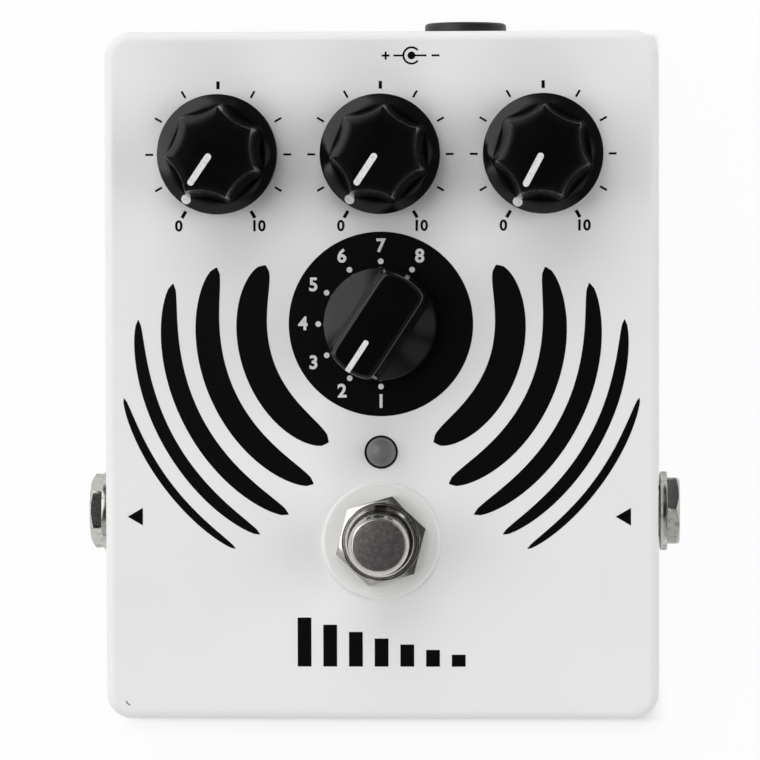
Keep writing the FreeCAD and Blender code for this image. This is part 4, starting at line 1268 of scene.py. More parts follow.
@dataclass
class FacePrint:
    """The ink on the face: scales and plain figures for the controls, and a pattern of fading echoes."""

    film: float = 0.035
    sunk: float = 0.005
    echoes: tuple[tuple[float, float, float, float], ...] = (
        (21.6, 5.2, 27.0, -66.0),
        (29.0, 4.2, 19.0, -67.0),
        (35.4, 3.2, 11.0, -64.0),
        (40.6, 2.2, 1.0, -60.0),
        (44.8, 1.4, -16.0, -57.0),
    )                           # radius, width, and from and to angle, on the right
    echo_steps: int = 48
    echo_fullness: int = 4      # the higher, the blunter an echo's ends
    echo_point: float = 0.04    # share of its width that an echo keeps at its ends
    disc_r: float = 15.4
    figure_r: float = 13.0
    figure_h: float = 3.1
    figure_film: float = 1.6    # films that the figures rise, over the disc's one
    dot_r: float = 10.45
    dot_d: float = 0.95
    positions: int = 8
    step_deg: float = 30.0
    tick_from: float = 10.9
    tick_to: float = 12.2
    tick_w: float = 0.34
    bold_tick: float = 1.6
    ticks: int = 11
    scale_figure_r: float = 13.7
    scale_figure_h: float = 2.5
    scale_figure_deg: float = 29.0
    bars: tuple[float, ...] = (8.2, 7.0, 5.8, 4.7, 3.7, 2.8, 2.0)
    bar_w: float = 2.3
    bar_pitch: float = 4.3
    bars_y: float = -48.6
    arrow_x: float = 40.8
    arrow_size: float = 1.7
    polarity_at: Pair = (5.2, 53.4)
    polarity_ring: tuple[float, float, float, float] = (1.35, 0.32, 40.0, 320.0)    # as an echo's
    polarity_dot_d: float = 1.3
    polarity_strokes: tuple[tuple[float, float, float, float], ...] = (
        (2.2, 0.3, 1.4, 0.0),
        (1.6, 0.3, -2.2, 0.0),
        (1.3, 0.32, 4.0, 0.0),
        (1.3, 0.32, -4.3, 0.0),
        (1.3, 0.32, -4.3, 90.0),
    )                           # length, width, place along the sign, and direction

    @property
    def centre(self) -> Pair:
        """The selector's axis on the face."""
        return middle_of("selector_knob")[:2]

    def build(self) -> None:
        """Prints everything on the face."""
        self.print_on("echo_print", BLACK_INK, [self.disc()] + self.echo_arcs())
        self.print_on("dial_scale_print", BLACK_INK, self.dial_scales())
        self.print_on("fading_bars_print", BLACK_INK, self.fading_bars())
        self.print_on("jack_arrow_print", BLACK_INK, self.jack_arrows())
        self.print_on("polarity_print", BLACK_INK, self.polarity())
        self.print_on("selector_figure_print", WHITE_INK, self.selector_figures())

    def print_on(self, name: str, ink: Finish, shapes: Sequence[Blank]) -> None:
        """Lays shapes on the face as one piece.

        Args:
            name: What the piece is called.
            ink: Its finish.
            shapes: The shapes, with their undersides at level 0.
        """
        slot = "knob_black" if ink is BLACK_INK else "case_white"
        sheet = Blank.gathered(shapes).moved(0, 0, top_of("enclosure") - self.sunk)
        sheet.piece(name, ink, Body.HOUSING, slot)

    def band(self, radius: float, width: float, start: float, end: float, pointed: bool = True) -> Blank:
        """An arc of ink about the origin.

        Args:
            radius: Of its middle line.
            width: Where it is widest.
            start: Angle of one end in degrees.
            end: Angle of the other.
            pointed: Whether it narrows to points.

        Returns:
            The arc, as thick as the film.
        """
        band = Blank()
        verts = [band.mesh.verts.new((radius + side * width / 2, 0, 0)) for side in (-1, 1)]
        edge = band.mesh.edges.new(verts)
        span = math.radians(end - start)
        bmesh.ops.spin(
            band.mesh, geom=verts + [edge], cent=(0, 0, 0), axis=(0, 0, 1), angle=span, steps=self.echo_steps
        )
        if pointed:
            for v in band.mesh.verts:
                along = math.atan2(v.co.y, v.co.x) / span
                full = math.sqrt(max(0.0, 1 - (2 * along - 1) ** self.echo_fullness))
                r = radius + (v.co.xy.length - radius) * max(full, self.echo_point)
                v.co.xy = v.co.xy.normalized() * r
        return self.thickened(band).turned(start)

    def thickened(self, sheet: Blank) -> Blank:
        """Gives a flat sheet the film's thickness upwards.

        Args:
            sheet: The sheet.

        Returns:
            The sheet itself.
        """
        raised = bmesh.ops.extrude_face_region(sheet.mesh, geom=sheet.mesh.faces[:])["geom"]
        top = [v for v in raised if isinstance(v, bmesh.types.BMVert)]
        bmesh.ops.translate(sheet.mesh, vec=(0, 0, self.film), verts=top)
        return sheet.healed()

    def spot(self, d: float, x: float, y: float, sides: int = 32, film: float | None = None) -> Blank:
        """A round or regular spot of ink."""
        return Blank.raised([Ring(d / 2, 0), Ring(d / 2, film or self.film)], sides).moved(x, y, 0)

    def stroke(self, length: float, width: float, x: float, y: float, degrees: float = 0.0) -> Blank:
        """A straight stroke about a point."""
        return Blank.box((length, width, self.film), (0, 0, self.film / 2)).turned(degrees).moved(x, y, 0)

    def disc(self) -> Blank:
        """The field of ink behind the selector."""
        return self.spot(2 * self.disc_r, *self.centre, 128)

    def echo_arcs(self) -> list[Blank]:
        """Arcs about the selector that get thinner outwards, on both sides.

        Returns:
            The arcs.
        """
        arcs = []
        for radius, width, start, end in self.echoes:
            arcs.append(self.band(radius, width, start, end))
            arcs.append(self.band(radius, width, 180 - start, 180 - end))
        return [arc.moved(*self.centre, 0) for arc in arcs]

    def selector_figures(self) -> list[Blank]:
        """A dot and a figure for each of the selector's positions.

        Returns:
            The dots and figures.
        """
        thick = self.figure_film * self.film
        shapes = []
        for i in range(self.positions):
            degrees = STRAIGHT_DOWN - i * self.step_deg
            shapes.append(self.spot(self.dot_d, *polar(self.dot_r, degrees), 24, thick))
            figure = Blank.lettered(str(i + 1), self.figure_h, thick)
            shapes.append(figure.moved(*polar(self.figure_r, degrees), 0))
        return [shape.moved(*self.centre, 0) for shape in shapes]

    def dial_scales(self) -> list[Blank]:
        """Ticks round each dial and the figures at the ends of its turn.

        Returns:
            The ticks and figures.
        """
        length = self.tick_to - self.tick_from
        middle_r = (self.tick_from + self.tick_to) / 2
        shapes = []
        for node in ("time_knob", "repeat_knob", "mix_knob"):
            x, y, _ = middle_of(node)
            for i in range(self.ticks):
                degrees = STRAIGHT_DOWN - self.step_deg * (i + 1)
                bold = i in (0, self.ticks // 2, self.ticks - 1)
                dx, dy = polar(middle_r, degrees)
                width = self.tick_w * (self.bold_tick if bold else 1.0)
                shapes.append(self.stroke(length, width, x + dx, y + dy, degrees))
            for text, side in (("0", -1), ("10", 1)):
                dx, dy = polar(self.scale_figure_r, STRAIGHT_DOWN + side * self.scale_figure_deg)
                shapes.append(Blank.lettered(text, self.scale_figure_h, self.film).moved(x + dx, y + dy, 0))
        return shapes

    def fading_bars(self) -> list[Blank]:
        """A row of bars, each shorter than the one before.

        Returns:
            The bars.
        """
        first = -self.bar_pitch * (len(self.bars) - 1) / 2
        return [
            self.stroke(self.bar_w, height, first + i * self.bar_pitch, self.bars_y + height / 2)
            for i, height in enumerate(self.bars)
        ]

    def jack_arrows(self) -> list[Blank]:
        """A small triangle beside each jack, the way that the signal goes.

        Returns:
            The triangles.
        """
        y = middle_of("input_jack_body")[1]
        size = 2 * self.arrow_size
        return [self.spot(size, 0, 0, 3).turned(180).moved(side.value * self.arrow_x, y, 0) for side in Side]

    def polarity(self) -> list[Blank]:
        """The usual plain sign for a socket whose middle is the negative side.

        Returns:
            Its ring, dot and strokes.
        """
        x, y = self.polarity_at
        ring = self.band(*self.polarity_ring, pointed=False).moved(x, y, 0)
        shapes = [ring, self.spot(self.polarity_dot_d, x, y)]
        for length, width, along, degrees in self.polarity_strokes:
            shapes.append(self.stroke(length, width, x + along, y, degrees))
        return shapes


# Controls


@dataclass
class DialKnob:
    """A skirted knob with a fluted grip, a pointer line on top and a spot on its skirt."""

    node: str
    body: Body
    pointer_deg: float
    skirt_d: float = 20.0
    height: float = 15.4
    foot_edge: float = 0.25
    rim_h: float = 2.5
    rim_round: tuple[Pair, ...] = ((0.0, -0.12), (0.04, -0.03), (0.12, 0.04))   # inwards and up from the rim
    skirt_rise: float = 0.7
    skirt_w: float = 1.55
    fillet: Pair = (0.06, 0.02)                 # outwards and down, where the skirt meets the grip
    fillet_swell: float = 0.04
    fillet_h: float = 0.12
    fillet_share: float = 0.02
    grip_draft: float = 0.75
    crown: float = 0.0070                       # drop of the top by the square of the radius
    crown_rings: tuple[float, ...] = (1.0, 0.75, 0.5, 0.25)
    flutes: int = 7
    flute_top: float = 1.42
    flute_foot: float = 1.15
    flute_r: float = 9.3
    bevel: float = 0.11
    soft_edge: float = 0.035
    soft_deg: float = 38.0
    recess_r: float = 6.97
    recess_h: float = 2.9
    socket_r: float = 3.05
    socket_h: float = 11.95
    steps_a_flute: int = 24
    line: Pair = (0.28, 6.4)                    # from and to radius
    line_w: float = 1.08
    line_sunk: float = 0.018
    stripe: Pair = (0.8, 1.05)                  # wide and high
    stripe_sunk: float = 0.04
    stripe_up: float = 0.4
    spot_d: float = 1.65
    spot_r: float = 9.08
    paint: float = 0.03

    @property
    def foot_r(self) -> float:
        """Radius of the grip's points at its foot."""
        return self.skirt_d / 2 - self.skirt_w

    @property
    def top_r(self) -> float:
        """Radius of the grip's points at the top."""
        return self.foot_r - self.grip_draft

    @property
    def grip_z(self) -> float:
        """Height of the grip's foot."""
        return self.rim_h + self.skirt_rise

    def outline(self, share: float, inset: float = 0.0) -> Outline:
        """The grip's fluted outline.

        Args:
            share: Height up the grip, from 0 to 1.
            inset: How far the outline is taken in.

        Returns:
            The radius by angle, with a point at 0.
        """
        away = self.top_r - self.flute_top + self.flute_r
        foot_cut = away - self.foot_r + self.flute_foot
        cut = foot_cut + (self.flute_r - foot_cut) * share
        point = self.foot_r + (self.top_r - self.foot_r) * share
        pitch = math.tau / self.flutes

        def radius(angle: float) -> float:
            """The radius in one direction.

            Args:
                angle: The direction, in radians.

            Returns:
                The radius.
            """
            off = (angle % pitch) - pitch / 2
            reach = away * math.sin(off)
            hollow = away * math.cos(off) - math.sqrt(max(cut**2 - reach**2, 0.0))
            return min(point, hollow) - inset

        return radius

    def crowned(self, outline: Outline, down: float = 0.0, share: float = 1.0) -> Ring:
        """A ring on the crowned top, or below it.

        Args:
            outline: The radius by angle.
            down: How far below the top the ring lies.
            share: Share of the radius that it keeps.

        Returns:
            The ring.
        """

        def radius(angle: float) -> float:
            """The radius at an angle."""
            return outline(angle) * share

        def height(angle: float) -> float:
            """The height at an angle."""
            return self.height - down - self.crown * radius(angle) ** 2

        return Ring(radius, height)

    def build(self) -> None:
        """Makes the knob and its paint."""
        turn = STRAIGHT_DOWN - self.pointer_deg
        at = (*middle_of(self.node)[:2], foot_of(self.node))
        name = "fluted_" + self.node
        knob = self.shape().turned(turn).moved(*at)
        knob.piece(name, KNOB_PLASTIC, self.body, "knob_black", [self.node])
        marks = self.pointer_line().joined(self.grip_stripe(), self.skirt_spot()).turned(turn).moved(*at)
        marks.piece(name + "_pointer", POINTER_PAINT, self.body, "case_white")

    def shape(self) -> Blank:
        """The moulded knob, hollow underneath.

        Returns:
            The knob.
        """
        r = self.skirt_d / 2
        out, down = self.fillet
        rings = [
            Ring(self.socket_r, self.socket_h),
            Ring(self.socket_r, self.recess_h),
            Ring(self.recess_r, self.recess_h),
            Ring(self.recess_r, 0.0),
            Ring(r - self.foot_edge, 0.0),
            Ring(r, self.foot_edge),
            *(Ring(r - inwards, self.rim_h + up) for inwards, up in self.rim_round),
            Ring(self.foot_r + out, self.grip_z - down),
            Ring(self.outline(0.0, -self.fillet_swell), self.grip_z),
            Ring(self.outline(self.fillet_share), self.grip_z + self.fillet_h),
            Ring(self.outline(0.5), (self.grip_z + self.height) / 2),
            self.crowned(self.outline(1.0), self.bevel),
            *(self.crowned(self.outline(1.0, self.bevel), share=share) for share in self.crown_rings),
        ]
        knob = Blank.raised(rings, self.flutes * self.steps_a_flute)
        # The edges to soften are those above the bevel's foot.
        rim = self.height - self.crown * self.top_r**2 - 1.1 * self.bevel
        return knob.softened(self.soft_edge, 2, self.soft_deg, lambda m: m.z > rim)

    def pointer_line(self) -> Blank:
        """The line on top, which follows the crown.

        Returns:
            The line towards +X.
        """
        start, end = self.line
        half = self.line_w / 2
        line = Blank.raised([Ring(half, 0), Ring(half, self.paint)], 32)
        for v in line.mesh.verts:
            v.co.x += end - half if v.co.x > 1e-6 else start + half
        for x in range(1, math.ceil(end)):
            line.sliced((x, 0, 0), (1, 0, 0), sawn_off=False)
        for v in line.mesh.verts:
            v.co.z += self.height - self.line_sunk - self.crown * v.co.xy.length_squared
        return line

    def grip_stripe(self) -> Blank:
        """The stripe down the grip's point.

        Returns:
            The stripe, which leans with the grip.
        """
        lean = math.degrees(math.atan2(self.grip_draft, self.height - self.grip_z))
        width, high = self.stripe
        stripe = Blank.box((self.paint, width, high), (self.paint / 2, 0, high / 2)).turned(-lean, "Y")
        return stripe.moved(self.foot_r - self.stripe_sunk, 0, self.grip_z + self.stripe_up)

    def skirt_spot(self) -> Blank:
        """The spot on the skirt.

        Returns:
            The spot, which leans with the skirt.
        """
        slope = math.degrees(math.atan2(self.skirt_rise, self.skirt_w))
        down = (self.spot_r - self.foot_r) / self.skirt_w * self.skirt_rise
        r = self.spot_d / 2
        spot = Blank.raised([Ring(r, 0), Ring(r, self.paint)], 40)
        return spot.turned(slope, "Y").moved(self.spot_r, 0, self.grip_z - down)


@dataclass
class SelectorKnob:
    """A round knob with one grip bar across it and a pointer line that runs over the bar's end."""

    pointer_deg: float = 33.3
    d: float = 18.9
    height: float = 14.6
    foot_edge: float = 0.25
    rim_h: float = 2.6
    rim_round: tuple[Pair, ...] = ((0.0, -0.3), (0.1, -0.06), (0.34, 0.06))     # inwards and up from the rim
    shoulder: float = 1.1
    top_w: float = 8.0
    foot_w: float = 10.2
    bar_inset: float = 0.02     # of the bar's ends from the base's side
    bar_sunk: float = 0.1       # above the recess
    end_draft: float = 0.45
    edge: float = 0.75
    edge_steps: int = 6
    squareness: float = 16.0    # of the bar's corners in plan
    recess_r: float = 7.53
    recess_h: float = 2.8
    line_from: float = 2.95
    line_down: float = 3.4      # how far below the top it ends
    line_w: float = 0.9
    line_round: float = 0.9     # share of half its width
    paint: float = 0.03
    steps: int = 160

    def build(self) -> None:
        """Makes the knob and its line."""
        at = (*middle_of("selector_knob")[:2], foot_of("selector_knob"))
        turn = STRAIGHT_DOWN - self.pointer_deg
        bar = self.bar()
        line = self.line(bar.duplicate()).turned(turn).moved(*at)
        knob = self.base().joined(bar).turned(turn).moved(*at)
        knob.piece("bar_knob", KNOB_PLASTIC, Body.SELECTOR, "knob_black", ["selector_knob"])
        line.piece("bar_knob_pointer", POINTER_PAINT, Body.SELECTOR, "case_white")

    def base(self) -> Blank:
        """The round base, hollow underneath.

        Returns:
            The base.
        """
        r = self.d / 2
        roof = self.rim_h + self.shoulder
        profile = [
            (0, self.recess_h), (self.recess_r, self.recess_h), (self.recess_r, 0), (r - self.foot_edge, 0),
            (r, self.foot_edge), *((r - inwards, self.rim_h + up) for inwards, up in self.rim_round),
            (self.foot_w / 2, roof), (0, roof),
        ]
        return Blank.lathed(profile, self.steps)

    def outline(self, height: float, inset: float = 0.0) -> Outline:
        """The bar's plan: a round drum with two flat flanks and rounded corners between them.

        Args:
            height: At which level, from the knob's underside.
            inset: How far the outline is taken in.

        Returns:
            The radius by angle.
        """
        share = (height - self.rim_h) / (self.height - self.rim_h)
        drum = self.d / 2 - self.bar_inset - self.end_draft * share - inset
        half = (self.foot_w + (self.top_w - self.foot_w) * share) / 2 - inset
        blunt = self.squareness

        def radius(angle: float) -> float:
            """The radius at an angle."""
            flank = half / max(abs(math.sin(angle)), 1e-3)
            return (drum**-blunt + flank**-blunt) ** (-1 / blunt)

        return radius

    def bar(self) -> Blank:
        """The grip bar, drafted and rounded over at the top.

        Returns:
            The bar.
        """
        foot, shoulder = self.recess_h + self.bar_sunk, self.height - self.edge
        rings = [Ring(self.outline(z), z) for z in (foot, (foot + shoulder) / 2)]
        for i in range(self.edge_steps + 1):
            turn = math.pi / 2 * i / self.edge_steps
            inset = self.edge * (1 - math.cos(turn))
            rings.append(Ring(self.outline(shoulder, inset), shoulder + self.edge * math.sin(turn)))
        return Blank.raised(rings, self.steps)

    def line(self, bar: Blank) -> Blank:
        """A strip of the bar's own skin, lifted off by the paint's thickness.

        Args:
            bar: A copy of the bar, which becomes the strip.

        Returns:
            The strip.
        """
        half = self.line_w / 2
        bar.sliced((self.line_from, 0, 0), (-1, 0, 0))
        for side in (1, -1):
            bar.sliced((0, side * half, 0), (0, side, 0))
        low = self.height - self.line_down
        gone = [f for f in bar.mesh.faces if f.calc_center_median().z < low]
        bmesh.ops.delete(bar.mesh, geom=gone, context="FACES")
        ends = [v for v in bar.mesh.verts if v.co.x < self.line_from + NEAR and abs(v.co.y) > half - NEAR]
        bmesh.ops.bevel(
            bar.mesh, geom=ends, offset=half * self.line_round, offset_type="OFFSET", segments=6, profile=0.5,
            affect="VERTICES", material=-1, clamp_overlap=True,
        )
        for v in bar.mesh.verts:
            v.co += v.normal * self.paint / 2
        bmesh.ops.solidify(bar.mesh, geom=bar.mesh.faces[:], thickness=self.paint)
        return bar


@dataclass
class StatusLamp:
    """The lamp: a domed lens, standing in its hole."""

    d: float = 5.0
    length: float = 8.6
    dome_steps: int = 14

    def build(self) -> None:
        """Makes the lens."""
        x, y, _ = middle_of("status_lamp")
        top = top_of("status_lamp")
        r, foot = self.d / 2, top - self.length
        lens = Blank.lathed([(0, foot), (r, foot)] + dome(r, top, self.dome_steps), 64).moved(x, y, 0)
        lens.piece("lamp_lens", LENS, Body.HOUSING, "lamp_lens", ["status_lamp"])


@dataclass
class FootSwitch:
    """The foot switch: threaded collar with its keyway, nut, nylon washer, pressed button and spring."""

    collar_d: float = 11.8
    bore_d: float = 10.08
    mouth: float = 0.35
    flare: float = 0.6                          # of the drill above the mouth
    notch: Place = (2.0, 3.0, 4.0)              # wide, outwards, and deep
    notch_in: float = 0.6                       # how far inside the bore's wall it starts
    thread_pitch: float = 0.75
    thread_depth: float = 0.34
    end_slant: Place = (0.5, 1.4, 0.1)          # inwards, down, and past the end
    plate_side: float = 17.2
    plate_t: float = 1.6
    plate_edge: float = 0.2
    plate_gap: float = 0.02                     # keeps the plate's faces clear of the collar's
    strap: Place = (0.8, 9.0, 6.0)              # thick, wide and high
    stem_w: float = 3.0
    button_d: float = 10.0
    button_l: float = 11.0
    button_edge: float = 0.09
    bevel: float = 0.72
    nut_af: float = 13.5
    nut_h: float = 2.2
    nut_corner_deg: float = 75.6
    washer_d: float = 19.8
    washer_edge: float = 0.6
    thread_play: float = 0.05
    travel: float = 2.8

    @property
    def at(self) -> Pair:
        """The switch's axis on the face."""
        return middle_of("footswitch_nut")[:2]

    def build(self) -> None:
        """Makes every piece that shows, and the spring."""
        self.frame().piece("threaded_collar", NICKEL, Body.HOUSING, "nickel", ["footswitch_frame"])
        nut = HexNut(self.nut_af, self.collar_d + 2 * self.thread_play, self.nut_h).blank(self.nut_corner_deg)
        nut = nut.moved(*self.at, foot_of("footswitch_nut"))
        nut.piece("collar_nut", NICKEL, Body.HOUSING, "nickel", ["footswitch_nut"])
        self.washer().piece("collar_washer", NYLON, Body.HOUSING, "nylon", ["footswitch_washer"])
        metals = [NICKEL, WORN_TOP]
        self.button().piece("press_button", metals, Body.FOOTSWITCH, "button_metal", ["footswitch_button"])
        self.return_spring()

    def return_spring(self) -> None:
        """The spring under the button, as a merged copy of its CAD node."""
        node = "footswitch_spring"
        low, top = foot_of(node), top_of(node)
        spring = Blank.copied(node).piece("press_spring", TIN, Body.HOUSING, "tinned", [node])
        anchor = tuple(c * MM for c in (*self.at, low))
        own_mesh(spring)

    def frame(self) -> Blank:
        """The plate with its two straps and the threaded collar.

        Returns:
            The frame in its place.
        """
        thick, _, high = self.strap
        low = foot_of("footswitch_frame") + high
        length = top_of("footswitch_frame") - low
        outer, bore = self.collar_d / 2, self.bore_d / 2
        collar = Blank.threaded(self.collar_d, self.thread_depth, self.thread_pitch, length)
        drill = [
            (0, self.plate_t), (bore, self.plate_t), (bore, length - self.mouth), (bore + self.mouth, length),
            (bore + self.flare, length + 1), (0, length + 1),
        ]
        across, out, down = self.notch
        notch = Blank.box((across, out, 2 * down), (0, bore - self.notch_in + out / 2, length))
        turner = end_turner(outer, length, *self.end_slant)
        collar.cut_by(turner, Blank.lathed(drill, 64), notch).moved(0, 0, low)
        side = self.plate_side
        plate = Blank.box((side, side, self.plate_t - self.plate_gap), (0, 0, low + self.plate_t / 2))
        plate.softened(self.plate_edge)
        places = [(s * (side - thick) / 2, 0, low - high / 2) for s in (-1, 1)]
        straps = [Blank.box(self.strap, place) for place in places]
        return collar.joined(plate, *straps).moved(*self.at, 0)

    def washer(self) -> Blank:
        """The nylon washer with rounded rims.

        Returns:
            The washer in its place.
        """
        low, top = foot_of("footswitch_washer"), top_of("footswitch_washer")
        inner, outer = self.collar_d / 2 + self.thread_play, self.washer_d / 2
        ring = Blank.lathed([(inner, low), (outer, low), (outer, top), (inner, top)], 128, closed=True)
        return ring.softened(self.washer_edge, 5, where=lambda m: m.z > top - NEAR).moved(*self.at, 0)

    def button(self) -> Blank:
        """The button: turned cap with a bright bevel, and its square stem.

        Returns:
            The button in its place, with its worn top picked out.
        """
        low, top = foot_of("footswitch_button"), top_of("footswitch_button")
        r = self.button_d / 2
        foot = top - self.button_l
        profile = [(0, foot), (r, foot), (r, top - self.bevel), (r - self.bevel, top), (0, top)]
        cap = Blank.lathed(profile, 128).softened(self.button_edge, 3)
        stem = Blank.box((self.stem_w, self.stem_w, foot - low), (0, 0, (foot + low) / 2))
        cap.joined(stem).moved(*self.at, 0)
        return cap.painted(1, lambda f: f.normal.z > 0.98 and f.calc_center_median().z > top - NEAR)


# Connectors


@dataclass
class AudioJacks:
    """What shows of the two jacks: washer, nut and threaded sleeve on each side."""

    sleeve_d: float = 9.0
    sleeve_l: float = 10.0
    bore_d: float = 6.44
    mouth: tuple[Pair, ...] = ((0.0, 0.4), (0.12, 0.12), (0.4, 0.0))    # outwards and down
    thread_pitch: float = 0.75
    thread_depth: float = 0.34
    end_slant: Place = (0.42, 1.2, 0.01)                                # inwards, down, and past the end
    thread_play: float = 0.05
    washer_d: float = 13.4
    washer_t: float = 1.2
    washer_edge: float = 0.22
    nut_af: float = 11.0
    nut_h: float = 2.1
    nut_rim: float = 0.955
    corners: dict[Side, float] = field(default_factory=lambda: {Side.INPUT: 84.0, Side.OUTPUT: 65.0})

    def build(self) -> None:
        """Makes the pieces of both sides."""
        washers, nuts = [], []
        for side in Side:
            name = side.name.lower()
            node = name + "_jack_sleeve"
            low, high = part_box(node)
            _, y, z = middle_of(node)
            mouth = max(high.x, -low.x) / MM
            seat = mouth - self.nut_h - self.washer_t
            sleeve = outwards(side, self.sleeve(), (side.value * (mouth - self.sleeve_l), y, z))
            sleeve.piece(name + "_threaded_sleeve", NICKEL, Body.HOUSING, "nickel", [node])
            washers.append(outwards(side, self.washer(), (side.value * seat, y, z)))
            nut = HexNut(self.nut_af, self.sleeve_d + 2 * self.thread_play, self.nut_h, self.nut_rim)
            place = (side.value * (seat + self.washer_t), y, z)
            nuts.append(outwards(side, nut.blank(self.corners[side]), place))
        pairs = (("pressed_washers", washers, "jack_washers"), ("sleeve_nuts", nuts, "jack_nuts"))
        for name, pair, node in pairs:
            Blank.gathered(pair).piece(name, STAINED_NICKEL, Body.HOUSING, "nickel", [node])

    def sleeve(self) -> Blank:
        """A threaded sleeve with a rounded mouth, open end up.

        Returns:
            The sleeve.
        """
        length, bore = self.sleeve_l, self.bore_d / 2
        rounded = [(bore + out, length - down) for out, down in self.mouth]
        drill = [(0, -1), (bore, -1), *rounded, (rounded[-1][0], length + 1), (0, length + 1)]
        turner = end_turner(self.sleeve_d / 2, length, *self.end_slant)
        sleeve = Blank.threaded(self.sleeve_d, self.thread_depth, self.thread_pitch, length)
        return sleeve.cut_by(Blank.lathed(drill, 64), turner)

    def washer(self) -> Blank:
        """A flat washer with the soft edges of a pressing.

        Returns:
            The washer.
        """
        inner, outer = self.sleeve_d / 2 + self.thread_play, self.washer_d / 2
        profile = [(inner, 0), (outer, 0), (outer, self.washer_t), (inner, self.washer_t)]
        return Blank.lathed(profile, 128, closed=True).softened(self.washer_edge, 3)


@dataclass
class PowerSocket:
    """The socket in the top end: moulded flange and barrel with its centre pin."""

    node: str = "power_socket_body"
    flange_d: float = 13.9
    flange_t: float = 1.5
    barrel_d: float = 11.2
    bore_d: float = 6.0
    bore_l: float = 10.2
    lead_in: float = 0.4
    edge: float = 0.6
    step_d: float = 9.6
    step_slope: float = 0.15
    step_depth: float = 0.22
    pin_d: float = 2.0
    pin_l: float = 9.4
    nose_steps: int = 6

    @property
    def length(self) -> float:
        """From the barrel's back to the flange's face."""
        low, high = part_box(self.node)
        return (high.y - low.y) / MM

    def build(self) -> None:
        """Makes the body and its pin."""
        barrel = self.laid(self.barrel())
        barrel.piece("power_barrel", SOCKET_PLASTIC, Body.HOUSING, "moulding_black", [self.node])
        self.laid(self.pin()).piece("power_centre_pin", NICKEL, Body.HOUSING, "tinned", ["power_socket_pin"])

    def laid(self, blank: Blank) -> Blank:
        """Lays a piece modelled along +Z along +Y, in its place in the end wall.

        Args:
            blank: The piece.

        Returns:
            The piece itself.
        """
        x, _, z = middle_of(self.node)
        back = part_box(self.node)[0].y / MM
        return blank.turned(-90, "X").moved(x, back, z)

    def barrel(self) -> Blank:
        """Barrel, flange with a shallow step, and bore with a lead-in.

        Returns:
            The moulding.
        """
        top = self.length
        barrel, flange, bore, step = (d / 2 for d in (self.barrel_d, self.flange_d, self.bore_d, self.step_d))
        seat, sunk = top - self.flange_t, top - self.step_depth
        profile = [
            (0, 0), (barrel, 0), (barrel, seat), (flange, seat), (flange, top), (step, top),
            (step - self.step_slope, sunk), (bore + self.lead_in, sunk), (bore, sunk - self.lead_in),
            (bore, top - self.bore_l), (0, top - self.bore_l),
        ]
        moulding = Blank.lathed(profile, 96)
        return moulding.softened(self.edge, 4, 60.0, lambda m: m.xy.length > barrel and m.z > top - NEAR)

    def pin(self) -> Blank:
        """The centre pin with a rounded nose, and its tail up to the board.

        Returns:
            The pin.
        """
        r = self.pin_d / 2
        tip = self.length - self.bore_l + self.pin_l
        return Blank.lathed([(0, 0), (r, 0)] + dome(r, tip, self.nose_steps), 32)


# Insides


@dataclass
class Insides:
    """Everything sealed in the case, and the small fixings under the knobs: CAD nodes with their finishes."""

    finishes: dict[Finish, tuple[str, ...]] = field(
        default_factory=lambda: {
            ZINC: (
                "time_shaft", "repeat_shaft", "mix_shaft", "selector_shaft", "time_pot_frame",
                "repeat_pot_frame", "mix_pot_frame", "selector_bushing",
            ),
            NICKEL: ("pot_nuts", "selector_nut", "footswitch_back_nut"),
            TIN: (
                "pot_pins", "selector_pins", "lamp_leads", "footswitch_lugs", "input_jack_contact",
                "output_jack_contact", "power_socket_tab", "board_capacitors",
            ),
            BROWN_MOULDING: ("time_pot_base", "repeat_pot_base", "mix_pot_base"),
            BLUE_MOULDING: ("footswitch_body",),
            SOCKET_PLASTIC: ("selector_body", "input_jack_body", "output_jack_body", "power_socket_nut"),
            BOARD: ("main_board", "switch_board"),
            CHIP_EPOXY: ("processor_chip", "board_chips"),
            RIBBON_SKIN: ("ribbon_cable",),
        }
    )

    def dress(self, nodes: Mapping[str, bpy.types.Object]) -> None:
        """Puts each finish on its CAD nodes.

        Args:
            nodes: The frame's nodes by name.
        """
        for finish, names in self.finishes.items():
            for name in names:
                for slot in nodes[name].material_slots:
                    slot.material = finish.material()
                log.info("%s: %s", name, finish.name)


# Studio


@dataclass(frozen=True)
class Heading:
    """A direction away from the object: its azimuth from +X and its angle off the zenith, in degrees."""

    azimuth: float
    off_zenith: float

    def vector(self) -> Vector:
        """The direction as a unit vector."""
        a, t = math.radians(self.azimuth), math.radians(self.off_zenith)
        return Vector((math.sin(t) * math.cos(a), math.sin(t) * math.sin(a), math.cos(t)))


@dataclass(frozen=True)
class Glow:
    """A soft round patch of brightness in the surroundings."""

    heading: Heading
    reach_deg: float
    core_deg: float
    level: float

    def seen(self, shader: Shader, towards: Channel) -> Channel:
        """The patch's brightness in a direction.

        Args:
            shader: The world's shader.
            towards: The direction.

        Returns:
            The brightness, 0 outside the patch's reach.
        """
        sockets = {0: towards, 1: tuple(self.heading.vector())}
        closeness = shader.node("ShaderNodeVectorMath", {"operation": "DOT_PRODUCT"}, sockets, "Value")
        ends = (math.cos(math.radians(d)) for d in (self.reach_deg, self.core_deg))
        return closeness.stepped(*ends) * self.level


